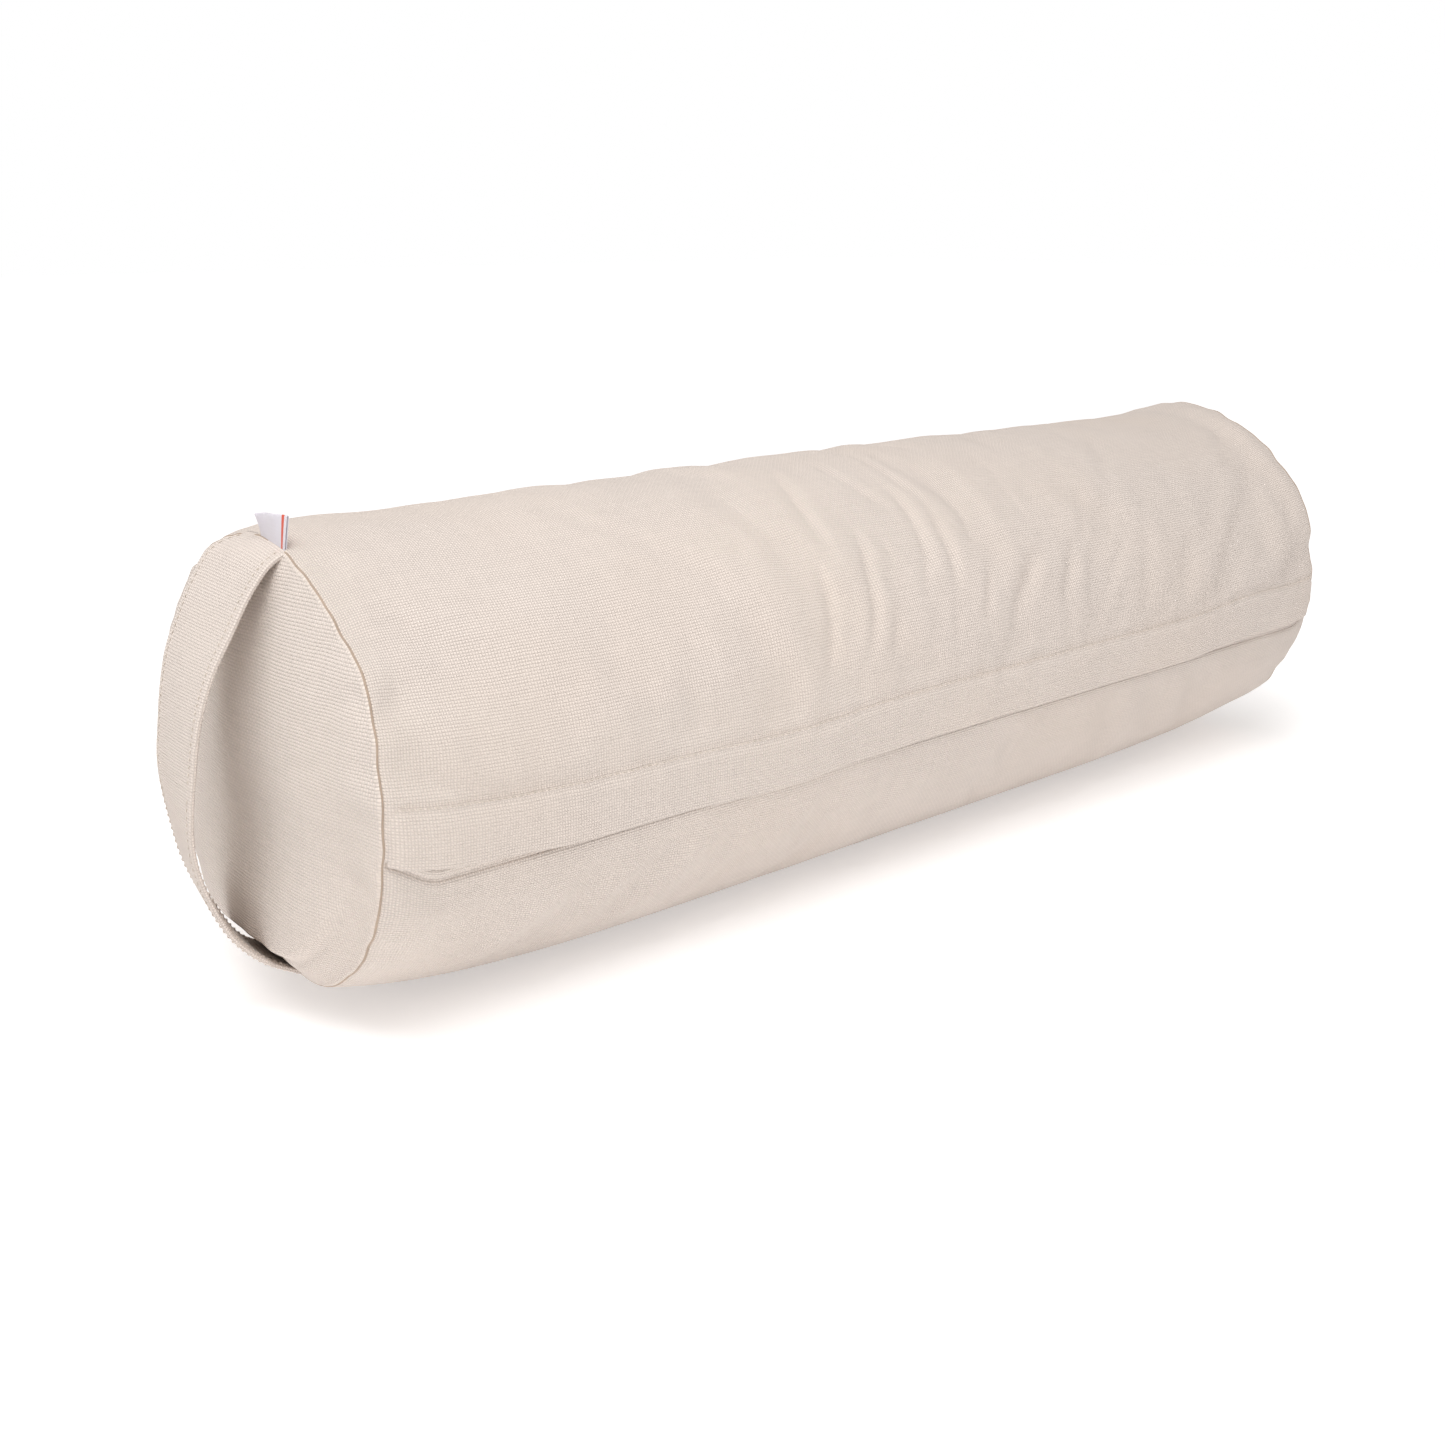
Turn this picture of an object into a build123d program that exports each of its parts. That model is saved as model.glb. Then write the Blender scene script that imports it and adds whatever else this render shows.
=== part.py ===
from build123d import *
import math
import os

# Round bolster pillow: a zipped canvas cover with a lapped zip flap and a carry strap,
# over a closed liner of loose filling. Millimetres, +Z up, +X from the strap end to the
# far end, the zip side facing -Y. The origin is the middle of the flat resting base.

# Driving dimensions of the body
body_length = 650.0
body_height = 206.0
base_flat = 50.0
lower_radius = 62.0
dome_height = 12.0
dome_radius_at_seam = 95.0

# Cloth thicknesses
canvas = 1.2
liner_cloth = 0.6
layer_gap = 0.3
snug_gap = 0.2

# Lapped zip, measured along the wall from the topstitch line downwards
stitch_height = 107.2
chain_drop = 16.0
lower_edge_drop = 21.2
flap_drop = 26.4
flap_thickness = 1.6
flap_gap = 0.5
flap_end_gap = 3.0
opening_end_margin = 13.0
turning_width = 9.0
turning_thickness = 3.0

# Zip chain and tapes
chain_depth = 4.7
tape_thickness = 0.6
tape_lap = 7.0
tape_end = 310.0
coil_width = 2.4
coil_thickness = 2.2
coil_gap = 0.9
coil_end = 300.5
stop_length = 3.0
stop_thickness = 2.6
stop_clearance = 0.5
channel_depth = 7.7
channel_side = 2.0

# Slider and pull tab
slider_length = 10.0
slider_width = 8.6
slider_plate = 0.95
slider_mouth = 2.9
slider_web = 0.3
slider_web_length = 6.0
slider_flange = 1.1
slider_flange_lip = 0.8
slider_flange_length = 5.0
slider_corner_radius = 2.1
slider_x = 295.0
pin_height = 3.75
pin_radius = 0.45
pin_hole_radius = 0.5
ear_thickness = 0.9
ear_length = 2.0
ear_inner = 1.9
tab_length = 16.5
tab_width = 5.0
tab_thickness = 1.0
tab_eye_radius = 1.05
tab_eye_width = 3.4
tab_slot_length = 6.0
tab_slot_width = 2.0
tab_corner_radius = 2.2

# Carry strap on the handle end
strap_width = 38.0
strap_thickness = 2.0
strap_bow = 40.0
strap_top = 200.0
strap_bottom = 6.0
strap_y = -5.0
swing_clear_radius = 28.0
swing_gap = 0.3

# Folded satin label in the seam
label_width = 20.0
label_height = 11.0
label_thickness = 0.8
label_y = -13.0
label_sunk = 3.0

# Derived geometry of the section: flat base, two lower arcs and one large upper arc
half_flat = base_flat / 2
upper_share = body_height - lower_radius
axis_height = (upper_share**2 - half_flat**2 - lower_radius**2) / (2 * (upper_share - lower_radius))
upper_radius = body_height - axis_height
half_length = body_length / 2
stitch_angle = math.degrees(math.asin((stitch_height - axis_height) / upper_radius))
degrees_per_mm = math.degrees(1 / upper_radius)
dome_sphere = (dome_radius_at_seam**2 + dome_height**2) / (2 * dome_height)
seam_face = half_length + canvas


def angle_below_stitch(drop):
    """Angle above the horizontal of a line that lies this far down the wall from the topstitching."""
    return stitch_angle - drop * degrees_per_mm


chain_angle = angle_below_stitch(chain_drop)
lower_edge_angle = angle_below_stitch(lower_edge_drop)


def body_section(inset):
    """The body's section in the YZ plane, moved inwards by inset."""
    low_r = lower_radius - inset
    top_r = upper_radius - inset
    lean = math.atan2(axis_height - lower_radius, half_flat)
    middle = (lean + math.pi / 2) / 2
    join = (half_flat + low_r * math.cos(lean), lower_radius - low_r * math.sin(lean))
    bulge = (half_flat + low_r * math.cos(middle), lower_radius - low_r * math.sin(middle))
    base = (half_flat, inset)
    crown = (0, axis_height + top_r)
    with BuildSketch(Plane.YZ) as sketch:
        with BuildLine():
            Line((-base[0], base[1]), base)
            ThreePointArc(base, bulge, join)
            ThreePointArc(join, crown, (-join[0], join[1]))
            ThreePointArc((-join[0], join[1]), (-bulge[0], bulge[1]), (-base[0], base[1]))
        make_face()
    return sketch.sketch


def body_run(inset, low_x, high_x):
    """A straight run of the body's section between two places along X."""
    return Pos(low_x, 0, 0) * extrude(body_section(inset), amount=high_x - low_x)


def wall_strip(inner_r, outer_r, low_angle, high_angle, low_x, high_x):
    """A strip of the front wall between two radii and two angles, run along X."""

    def at(radius, angle):
        turn = math.radians(angle)
        return (-radius * math.cos(turn), axis_height + radius * math.sin(turn))

    middle = (low_angle + high_angle) / 2
    with BuildSketch(Plane.YZ) as sketch:
        with BuildLine():
            ThreePointArc(at(outer_r, low_angle), at(outer_r, middle), at(outer_r, high_angle))
            Line(at(outer_r, high_angle), at(inner_r, high_angle))
            ThreePointArc(at(inner_r, high_angle), at(inner_r, middle), at(inner_r, low_angle))
            Line(at(inner_r, low_angle), at(outer_r, low_angle))
        make_face()
    return Pos(low_x, 0, 0) * extrude(sketch.sketch, amount=high_x - low_x)


def dome_ball(side, inset):
    """The large ball whose cap is the shallow dome of an end disc, made smaller by inset."""
    centre_x = side * (seam_face + dome_height - dome_sphere)
    return Pos(centre_x, 0, body_height / 2) * Rot(0, 0, 90) * Sphere(dome_sphere - inset)


def outward_run(side, inset, start, length):
    """A run of the section that starts at a distance from the middle and goes outwards."""
    low_x, high_x = sorted((side * start, side * (start + length)))
    return body_run(inset, low_x, high_x)


def end_disc(side, start, inset, thickness):
    """A cloth disc: a flat rim in the seam, with a shallow dome pressed out of its middle."""
    rim = outward_run(side, inset, start, thickness)
    dome = dome_ball(side, inset) & outward_run(side, inset, start, 2 * dome_height)
    return rim + dome - dome_ball(side, inset + thickness)


def channelled_run(inset, depth, margin, reach):
    """The body's inside with the shallow channel that the zip lies in."""
    side = (turning_width + channel_side + margin) * degrees_per_mm
    channel_reach = half_length - opening_end_margin + channel_side + margin
    channel = wall_strip(
        upper_radius - depth,
        upper_radius + canvas,
        lower_edge_angle - side,
        stitch_angle + side,
        -channel_reach,
        channel_reach,
    )
    return body_run(inset, -reach, reach) - channel


def make_body_panel():
    """The wrapped main panel, open between the lower edge and the topstitch line, edges turned in."""
    opening_reach = half_length - opening_end_margin
    inner_r = upper_radius - canvas
    turned_r = inner_r - turning_thickness
    shell = body_run(0, -half_length, half_length) - body_run(canvas, -half_length, half_length)
    opening = wall_strip(
        turned_r,
        upper_radius + canvas,
        lower_edge_angle,
        stitch_angle,
        -opening_reach,
        opening_reach,
    )
    turn = turning_width * degrees_per_mm
    upper = wall_strip(turned_r, inner_r + snug_gap, stitch_angle, stitch_angle + turn, -tape_end, tape_end)
    lower = wall_strip(
        turned_r, inner_r + snug_gap, lower_edge_angle - turn, lower_edge_angle, -tape_end, tape_end
    )
    return shell - opening + upper + lower


def make_flap():
    """The doubled canvas lap that hangs from the topstitch line and covers the zip."""
    inner_r = upper_radius + flap_gap
    reach = half_length - flap_end_gap
    return wall_strip(
        inner_r, inner_r + flap_thickness, angle_below_stitch(flap_drop), stitch_angle, -reach, reach
    )


def chain_strip(low_offset, high_offset, thickness, low_x, high_x):
    """A strip on the zip's own surface, its edges measured across the chain from its middle."""
    middle_r = upper_radius - chain_depth
    return wall_strip(
        middle_r - thickness / 2,
        middle_r + thickness / 2,
        chain_angle + low_offset * degrees_per_mm,
        chain_angle + high_offset * degrees_per_mm,
        low_x,
        high_x,
    )


coil_inner = coil_gap / 2
coil_outer = coil_inner + coil_width


def make_zip_tape_upper():
    """The upper tape, from the coil up behind the topstitch line."""
    return chain_strip(coil_outer, chain_drop + tape_lap, tape_thickness, -tape_end, tape_end)


def make_zip_tape_lower():
    """The lower tape, from the coil down behind the lower edge."""
    drop = lower_edge_drop - chain_drop
    return chain_strip(-drop - tape_lap, -coil_outer, tape_thickness, -tape_end, tape_end)


def make_zip_coil_upper():
    """The upper row of the coil, as its outer shape."""
    return chain_strip(coil_inner, coil_outer, coil_thickness, -coil_end, coil_end)


def make_zip_coil_lower():
    """The lower row of the coil, as its outer shape."""
    return chain_strip(-coil_outer, -coil_inner, coil_thickness, -coil_end, coil_end)


def make_zip_top_stops():
    """The two clamps that end the open side of the chain, one for each row."""
    low_x = coil_end + stop_clearance
    high_x = low_x + stop_length
    upper = chain_strip(coil_inner, coil_outer, stop_thickness, low_x, high_x)
    lower = chain_strip(-coil_outer, -coil_inner, stop_thickness, low_x, high_x)
    return Compound(children=[upper, lower])


def make_zip_bottom_stop():
    """The clamp that holds the two rows together at the strap end."""
    high_x = -coil_end - stop_clearance
    return chain_strip(-coil_outer, coil_outer, stop_thickness, high_x - stop_length, high_x)


def chain_plane(x):
    """A plane on the chain's middle: its x runs along the zip and its z points out of the wall."""
    turn = math.radians(chain_angle)
    radius = upper_radius - chain_depth
    out = (0, -math.cos(turn), math.sin(turn))
    place = (x, radius * out[1], axis_height + radius * out[2])
    return Plane(origin=place, x_dir=(1, 0, 0), z_dir=out)


def block(size_x, size_y, low_z, high_z, y=0.0):
    """A block centred on x, centred on the given y, between two heights."""
    return Pos(0, y, (low_z + high_z) / 2) * Box(size_x, size_y, high_z - low_z)


def make_zip_slider():
    """Two plates joined by a thin web between the rows, with ears and a pin for the pull tab."""
    half_mouth = slider_mouth / 2
    plate_top = half_mouth + slider_plate
    front = block(slider_length, slider_width, half_mouth, plate_top)
    front = fillet(front.edges().filter_by(Axis.Z), radius=slider_corner_radius)
    back = mirror(front, about=Plane.XY)
    web = block(slider_web_length, slider_web, -half_mouth, half_mouth)
    solid = front + back + web
    flange_y = (slider_width - slider_flange) / 2
    lip = half_mouth - slider_flange_lip
    for side in (-1, 1):
        solid += block(slider_flange_length, slider_flange, lip, half_mouth, side * flange_y)
        solid += block(slider_flange_length, slider_flange, -half_mouth, -lip, side * flange_y)
        ear_y = side * (ear_inner + ear_thickness / 2)
        solid += block(ear_length, ear_thickness, plate_top, pin_height, ear_y)
        solid += Pos(0, ear_y, pin_height) * Rot(90, 0, 0) * Cylinder(ear_length / 2, ear_thickness)
    solid += Pos(0, 0, pin_height) * Rot(90, 0, 0) * Cylinder(pin_radius, 2 * ear_inner + ear_thickness)
    return chain_plane(slider_x).location * solid


def make_zip_pull_tab():
    """The small flat tab on the slider's pin, lying along the chain towards the strap end."""
    eye = Rot(90, 0, 0) * Cylinder(tab_eye_radius, tab_eye_width)
    blade = Pos(-tab_length / 2, 0, 0) * Box(tab_length, tab_width, tab_thickness)
    blade = fillet(blade.edges().filter_by(Axis.Z).sort_by(Axis.X)[:2], radius=tab_corner_radius)
    neck_cut = Box(2 * ear_length, tab_width, 2 * tab_thickness)
    neck = Pos(-ear_length / 2, 0, 0) * Box(ear_length, tab_eye_width, tab_thickness)
    slot = Pos(-tab_length + tab_slot_length, 0, 0) * Box(tab_slot_length, tab_slot_width, 2 * tab_thickness)
    hole = Rot(90, 0, 0) * Cylinder(pin_hole_radius, tab_eye_width)
    solid = blade - neck_cut + neck + eye - hole - slot
    return chain_plane(slider_x).location * Pos(0, 0, pin_height) * solid


liner_inset = canvas + layer_gap
liner_reach = half_length - layer_gap - liner_cloth
filling_margin = liner_cloth + snug_gap


def make_liner_tube():
    """The plain inner bag's side wall, with the zip's channel pressed into it."""
    outer = channelled_run(liner_inset, channel_depth, 0, liner_reach)
    inner = channelled_run(liner_inset + liner_cloth, channel_depth + liner_cloth, liner_cloth, liner_reach)
    return outer - inner


def make_filling():
    """The packed filling, as one plain closed body inside the liner."""
    inset = liner_inset + filling_margin
    reach = liner_reach - snug_gap
    filling = channelled_run(inset, channel_depth + filling_margin, filling_margin, reach)
    for side in (-1, 1):
        filling += dome_ball(side, inset) & outward_run(side, inset, reach, 2 * dome_height)
    return filling


def strap_band():
    """The whole bowed strap: one arc in the XZ plane, as wide as the strap along Y."""
    half_rise = (strap_top - strap_bottom) / 2
    radius = (half_rise**2 + strap_bow**2) / (2 * strap_bow)
    centre = Pos(-seam_face - strap_bow + radius, strap_y, (strap_top + strap_bottom) / 2)
    ring = Cylinder(radius + strap_thickness / 2, strap_width)
    ring -= Cylinder(radius - strap_thickness / 2, strap_width)
    outside = Pos(-seam_face - strap_bow, strap_y, body_height / 2) * Box(
        2 * strap_bow, strap_width, body_height
    )
    return (centre * Rot(90, 0, 0) * ring) & outside


def swing_column(radius):
    """The upright round space about the line through the strap's two sewn ends."""
    return Pos(-seam_face, strap_y, body_height / 2) * Cylinder(radius, body_height)


def make_handle_strap():
    """The free bow of the strap."""
    return strap_band() - swing_column(swing_clear_radius)


def make_handle_sewn_ends():
    """The two short ends that the seam holds: the top one, then the bottom one."""
    held = strap_band() & swing_column(swing_clear_radius - swing_gap)
    return held.solids().sort_by(Axis.Z, reverse=True)


def make_label():
    """The blank folded label that stands in the seam beside the strap's top end."""
    low_z = body_height - label_sunk
    high_z = body_height + label_height
    centre = Pos(-half_length, label_y, (low_z + high_z) / 2)
    slip = centre * Box(label_thickness, label_width, high_z - low_z)
    return slip - body_run(0, -half_length - 2 * canvas, half_length)


sewn_end_top, sewn_end_bottom = make_handle_sewn_ends()

nodes = {
    "body_panel": make_body_panel(),
    "handle_end_disc": end_disc(-1, half_length, 0, canvas),
    "far_end_disc": end_disc(1, half_length, 0, canvas),
    "zip_flap": make_flap(),
    "zip_tape_upper": make_zip_tape_upper(),
    "zip_tape_lower": make_zip_tape_lower(),
    "zip_coil_upper": make_zip_coil_upper(),
    "zip_coil_lower": make_zip_coil_lower(),
    "zip_top_stops": make_zip_top_stops(),
    "zip_bottom_stop": make_zip_bottom_stop(),
    "zip_slider": make_zip_slider(),
    "zip_pull_tab": make_zip_pull_tab(),
    "liner_tube": make_liner_tube(),
    "liner_handle_end_disc": end_disc(-1, liner_reach, liner_inset, liner_cloth),
    "liner_far_end_disc": end_disc(1, liner_reach, liner_inset, liner_cloth),
    "filling": make_filling(),
    "handle_strap": make_handle_strap(),
    "handle_sewn_end_top": sewn_end_top,
    "handle_sewn_end_bottom": sewn_end_bottom,
    "side_label": make_label(),
}

os.makedirs("parts", exist_ok=True)
for name, shape in nodes.items():
    export_step(shape, f"parts/{name}.step")
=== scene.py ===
import math

import bpy
import numpy as np
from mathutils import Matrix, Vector


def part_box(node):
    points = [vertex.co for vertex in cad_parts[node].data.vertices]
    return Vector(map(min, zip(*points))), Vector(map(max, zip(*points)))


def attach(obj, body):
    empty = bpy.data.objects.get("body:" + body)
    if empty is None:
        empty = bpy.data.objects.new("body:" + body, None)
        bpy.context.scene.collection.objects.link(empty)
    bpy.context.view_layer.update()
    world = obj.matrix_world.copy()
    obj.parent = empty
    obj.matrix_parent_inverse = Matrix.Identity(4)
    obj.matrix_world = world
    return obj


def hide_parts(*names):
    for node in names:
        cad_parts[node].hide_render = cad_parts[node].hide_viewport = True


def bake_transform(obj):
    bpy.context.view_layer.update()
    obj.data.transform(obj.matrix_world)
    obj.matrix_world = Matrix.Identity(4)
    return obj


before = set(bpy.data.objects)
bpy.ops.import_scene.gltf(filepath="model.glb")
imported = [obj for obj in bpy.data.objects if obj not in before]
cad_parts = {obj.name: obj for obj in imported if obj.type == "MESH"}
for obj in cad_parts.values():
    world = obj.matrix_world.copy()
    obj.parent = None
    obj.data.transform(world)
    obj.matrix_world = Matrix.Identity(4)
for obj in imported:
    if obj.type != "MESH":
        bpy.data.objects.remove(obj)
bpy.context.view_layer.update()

bl_info = {
    "name": "Bolster pillow",
    "version": (1, 0, 0),
    "blender": (4, 5, 0),
    "location": "View3D > Sidebar > Bolster",
    "description": "Builds a zipped canvas bolster pillow with a carry strap, piece by piece",
    "category": "Add Mesh",
}

_, PANEL_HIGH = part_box("body_panel")
STRAP_LOW, STRAP_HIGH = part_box("handle_strap")
LABEL_LOW, LABEL_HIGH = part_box("side_label")
COIL_LOW, COIL_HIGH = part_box("zip_coil_upper")
_, TAPE_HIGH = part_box("zip_tape_upper")
HALF_LENGTH = PANEL_HIGH.x
BODY_HEIGHT = PANEL_HIGH.z

# Half the length of the zip's slot, and half the length of the turned edges beside it, in metres.
SLOT_HALF, TURNED_HALF = 0.312, 0.3115
# Distances along the pillow between which the slot's lower edge leaves its straight line.
EDGE_HELD, EDGE_FREE = 0.302, 0.3245
# The cloth trial: its last frame, its pressure, and the most that a point may move.
LAST_FRAME, PRESSURE, MOST_MOVED = 20, 4, 0.0030
# Thickness of one layer of the flap, of the zip tape, of the label and of the liner's cotton, in metres.
FLAP_THICK, TAPE_THICK, LABEL_THICK, LINER_THICK = 0.00068, 0.00055, 0.00032, 0.0006
# Thickness of the threads of the topstitching and of the strap's stitching, in metres.
TOP_THREAD, STRAP_THREAD = 0.00062, 0.00055
# Radius of the round seam that the strap's sewn top follows, in metres.
SEAM_ROUND = 0.103
# Where the camera stands, what it looks at, and its focal length and sensor width in millimetres.
CAMERA_PLACE, CAMERA_AIM = (-0.57983, -0.59758, 0.32471), (-0.07209, 0, 0.07142)
CAMERA_LENS, CAMERA_SENSOR = 39.04, 36.0


# ---------------------------------------------------------------- sizes and colours


def length(name, description, default):
    """A length in metres for the sidebar."""
    return bpy.props.FloatProperty(
        name=name, description=description, default=default, precision=5, unit="LENGTH"
    )


def tint(name, description, default):
    """A linear colour for the sidebar."""
    return bpy.props.FloatVectorProperty(
        name=name, description=description, default=default, size=3, min=0, max=1, subtype="COLOR"
    )


class BolsterSizes(bpy.types.PropertyGroup):
    """The sizes that shape the visible pieces."""

    base_width: length("Base width", "Width of the flat that the pillow rests on", 0.050)
    corner_radius: length("Corner radius", "Radius of the lower corners of the section", 0.062)
    stitch_height: length("Stitch height", "Height of the topstitching above the floor", 0.1072)
    end_narrowing: bpy.props.FloatProperty(
        name="End narrowing", description="Share of the width lost at each end", default=0.031
    )
    end_flattening: bpy.props.FloatProperty(
        name="End flattening", description="Share of the height lost at each end", default=0.039
    )
    strap_end_lift: length("Strap end lift", "How far the strap end's underside clears the floor", 0.016)
    far_end_lift: length("Far end lift", "How far the far end's underside clears the floor", 0.0093)
    strap_end_drop: length("Strap end drop", "How far the strap end's top is pulled down", 0.012)
    strap_end_lean: length("Strap end lean", "How far the strap end's top is pulled inwards", 0.0075)
    shoulder_slack: length("Shoulder slack", "How far the strap end's front shoulder sinks in", 0.0036)
    canvas_thickness: length("Canvas thickness", "Thickness of the cover's canvas", 0.0011)
    seam_radius: length("Seam radius", "Radius of the panel's rolled edge in an end seam", 0.0010)
    dome: length("End dome", "How far the end discs bulge", 0.0105)
    thread_pitch: length("Thread pitch", "Distance between two canvas threads", 0.0013)
    stitch_pitch: length("Stitch pitch", "Distance between two topstitches", 0.0034)
    flap_drop: length("Flap drop", "Distance from the topstitching down to the flap's fold", 0.0264)
    edge_drop: length("Edge drop", "Distance from the topstitching down to the panel's lower edge", 0.0212)
    chain_drop: length("Chain drop", "Distance from the topstitching down to the zip's middle", 0.0160)
    chain_depth: length("Chain depth", "How deep the zip's middle lies under the canvas", 0.0047)
    coil_pitch: length("Coil pitch", "Distance between two turns of the zip coil", 0.0013)
    strap_width: length("Strap width", "Width of the carry strap", 0.038)
    strap_thickness: length("Strap thickness", "Thickness of the carry strap", 0.0021)


class BolsterColours(bpy.types.PropertyGroup):
    """The colours of the finishes."""

    canvas: tint("Canvas", "Undyed cotton canvas", (0.795, 0.707, 0.645))
    thread: tint("Thread", "Sewing thread", (0.780, 0.700, 0.620))
    # Dark thread in the end seams: coloured darker than the sewing thread to paint the shade of the seam
    # groove.
    seam_shade_thread: tint("Seam shade thread", "Dark thread in the end seams, painted seam shade", (0.470, 0.365, 0.285))
    tape: tint("Zip tape", "Woven zip tape", (0.680, 0.600, 0.510))
    coil: tint("Zip coil", "Nylon zip coil", (0.720, 0.660, 0.580))
    metal: tint("Zip metal", "Nickel plate on the slider, tab and stops", (0.620, 0.600, 0.570))
    liner: tint("Liner", "Cotton liner bag", (0.800, 0.780, 0.740))
    filling: tint("Filling", "Loose fibre filling", (0.780, 0.740, 0.670))
    label: tint("Label", "White satin label", (0.720, 0.690, 0.750))
    label_stripe: tint("Label stripe", "Stripe woven along the label's edge", (0.640, 0.080, 0.040))
    floor: tint("Floor", "Plain floor", (0.955, 0.950, 0.950))


def sizes():
    """The sizes as they are set in this scene."""
    return bpy.context.scene.bolster_sizes


def colours():
    """The colours as they are set in this scene."""
    return bpy.context.scene.bolster_colours


# ---------------------------------------------------------------- the pillow's own surface


def step(low, high, value):
    """Smooth step: 0 up to low, 1 from high, and 3t^2 - 2t^3 of the share t between them."""
    t = np.clip((value - low) / (high - low), 0, 1)
    return t * t * (3 - 2 * t)


def hill(value, middle, width, power=2):
    """A bell: e to the minus of the distance from the middle, in widths, raised to the power."""
    return np.exp(-((np.abs(value - middle) / width) ** power))


def section_numbers():
    """Large radius, its centre's height, half the base, small radius, lean of the join and stitch angle.

    The large arc touches both lower arcs from outside and reaches the body's height.
    """
    s = sizes()
    half, low, high = s.base_width / 2, s.corner_radius, BODY_HEIGHT
    large = (half**2 + high**2 - 2 * high * low) / (2 * high - 4 * low)
    centre = high - large
    lean = math.atan2(centre - low, half)
    start = math.asin((s.stitch_height - centre) / large)
    return large, centre, half, low, lean, start


def section_cuts():
    """Distances along the section, from the stitch line, at which each of its five runs ends."""
    large, _, half, low, lean, start = section_numbers()
    corner = low * (math.pi / 2 - lean)
    return np.cumsum([large * (math.pi + lean - start), corner, 2 * half, corner, large * (lean + start)])


def girth():
    """The distance once round the section."""
    return float(section_cuts()[-1])


def section(g):
    """Place and outward direction (y, z, ny, nz) on the section at the distance g from the stitch line.

    g grows upwards over the crown, down the back, along the base and up the front. Each run is a circle
    arc about its own centre, and the base is a straight line.
    """
    large, centre, half, low, lean, start = section_numbers()
    cuts = section_cuts()
    g = np.mod(g, cuts[-1])
    run = np.searchsorted(cuts, g, side="right").clip(0, 4)
    along = g - np.concatenate([[0], cuts])[run]
    radius = np.array([large, low, 0.0, low, large])[run]
    first = np.array([start, math.pi + lean, 1.5 * math.pi, 1.5 * math.pi, 2 * math.pi - lean])[run]
    turn = first + np.where(run == 2, 0, along / np.where(radius == 0, 1, radius))
    middle_y = np.where(run == 2, half - along, np.array([0, half, half, -half, 0])[run])
    middle_z = np.array([centre, low, 0, low, centre])[run]
    ny, nz = -np.cos(turn), np.sin(turn)
    return middle_y + radius * ny, middle_z + radius * nz, ny, nz


def from_stitch(g):
    """Signed distance from the stitch line along the section: above it positive, below it negative."""
    whole = girth()
    return np.mod(g + whole / 2, whole) - whole / 2


def seam_wander(x, fall):
    """How far the sewn line wanders along the pillow: a bell up at the far end less a bell of sag."""
    return (0.0040 * hill(x, 0.255, 0.042) - 0.0030 * hill(x, -0.118, 0.045)) * fall


def cover_point(x, g, off=0.0, zip_edge=False):
    """Place on the stuffed cover at x along it and g round it, moved outwards by off.

    The section is narrowed and flattened towards both ends by a power of |x|, the ends' undersides lift,
    the strap end's top drops and leans in, and the wall beside the zip keeps its straight line.
    """
    s = sizes()
    x, g, off = (np.asarray(a, float) for a in np.broadcast_arrays(x, g, off))
    u = x / HALF_LENGTH
    a = np.minimum(np.abs(u), 1.02)
    below = from_stitch(g)
    fall = hill(below, -0.013, 0.045)
    edge = step(-0.060, -s.edge_drop, below) * (1 - step(-s.edge_drop, 0, below)) if zip_edge else 0 * x
    y0, z0, ny, nz = section(g + seam_wander(x, fall) * (1 - edge))
    off = off - np.where(u < 0, s.shoulder_slack, 0) * a**12 * hill(below, 0.088, 0.034)
    narrow = a**2.8
    beside_zip = step(-0.085, -0.045, below) * (1 - step(0.020, 0.070, below))
    y = y0 * (1 - s.end_narrowing * narrow * (1 - beside_zip * (1 - a**30)))
    strap_end = u < 0
    lift = np.where(strap_end, s.strap_end_lift, s.far_end_lift) * a**6.4
    drop = np.where(strap_end, s.strap_end_drop, 0) * a**14 * (z0 / BODY_HEIGHT) ** 2
    rise = lift - s.end_flattening * narrow * z0 - drop
    z = z0 + rise * (1 - edge * (1 - step(EDGE_HELD, EDGE_FREE, np.abs(x))))
    lean = np.where(strap_end, s.strap_end_lean, 0) * a**12 * step(0.40, 0.95, z0 / BODY_HEIGHT)
    return np.stack([x + lean, y + ny * off, z + nz * off], -1)


def ripple(t, pitch, seed, waves=5, whole=None):
    """A smooth uneven wave along t: sines of unlike pitches and fixed random phases, added up.

    Given a whole length, each sine runs a whole number of times in it, so the wave meets itself there.
    """
    rng = np.random.default_rng(seed)
    total = np.zeros_like(t)
    for k in range(waves):
        per_metre = 1 / (pitch * (0.62 + 0.21 * k + 0.1 * rng.random()))
        if whole:
            per_metre = max(1, round(per_metre * whole)) / whole
        total += np.sin(2 * math.pi * t * per_metre + 2 * math.pi * rng.random())
    return total / waves**0.5


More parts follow.
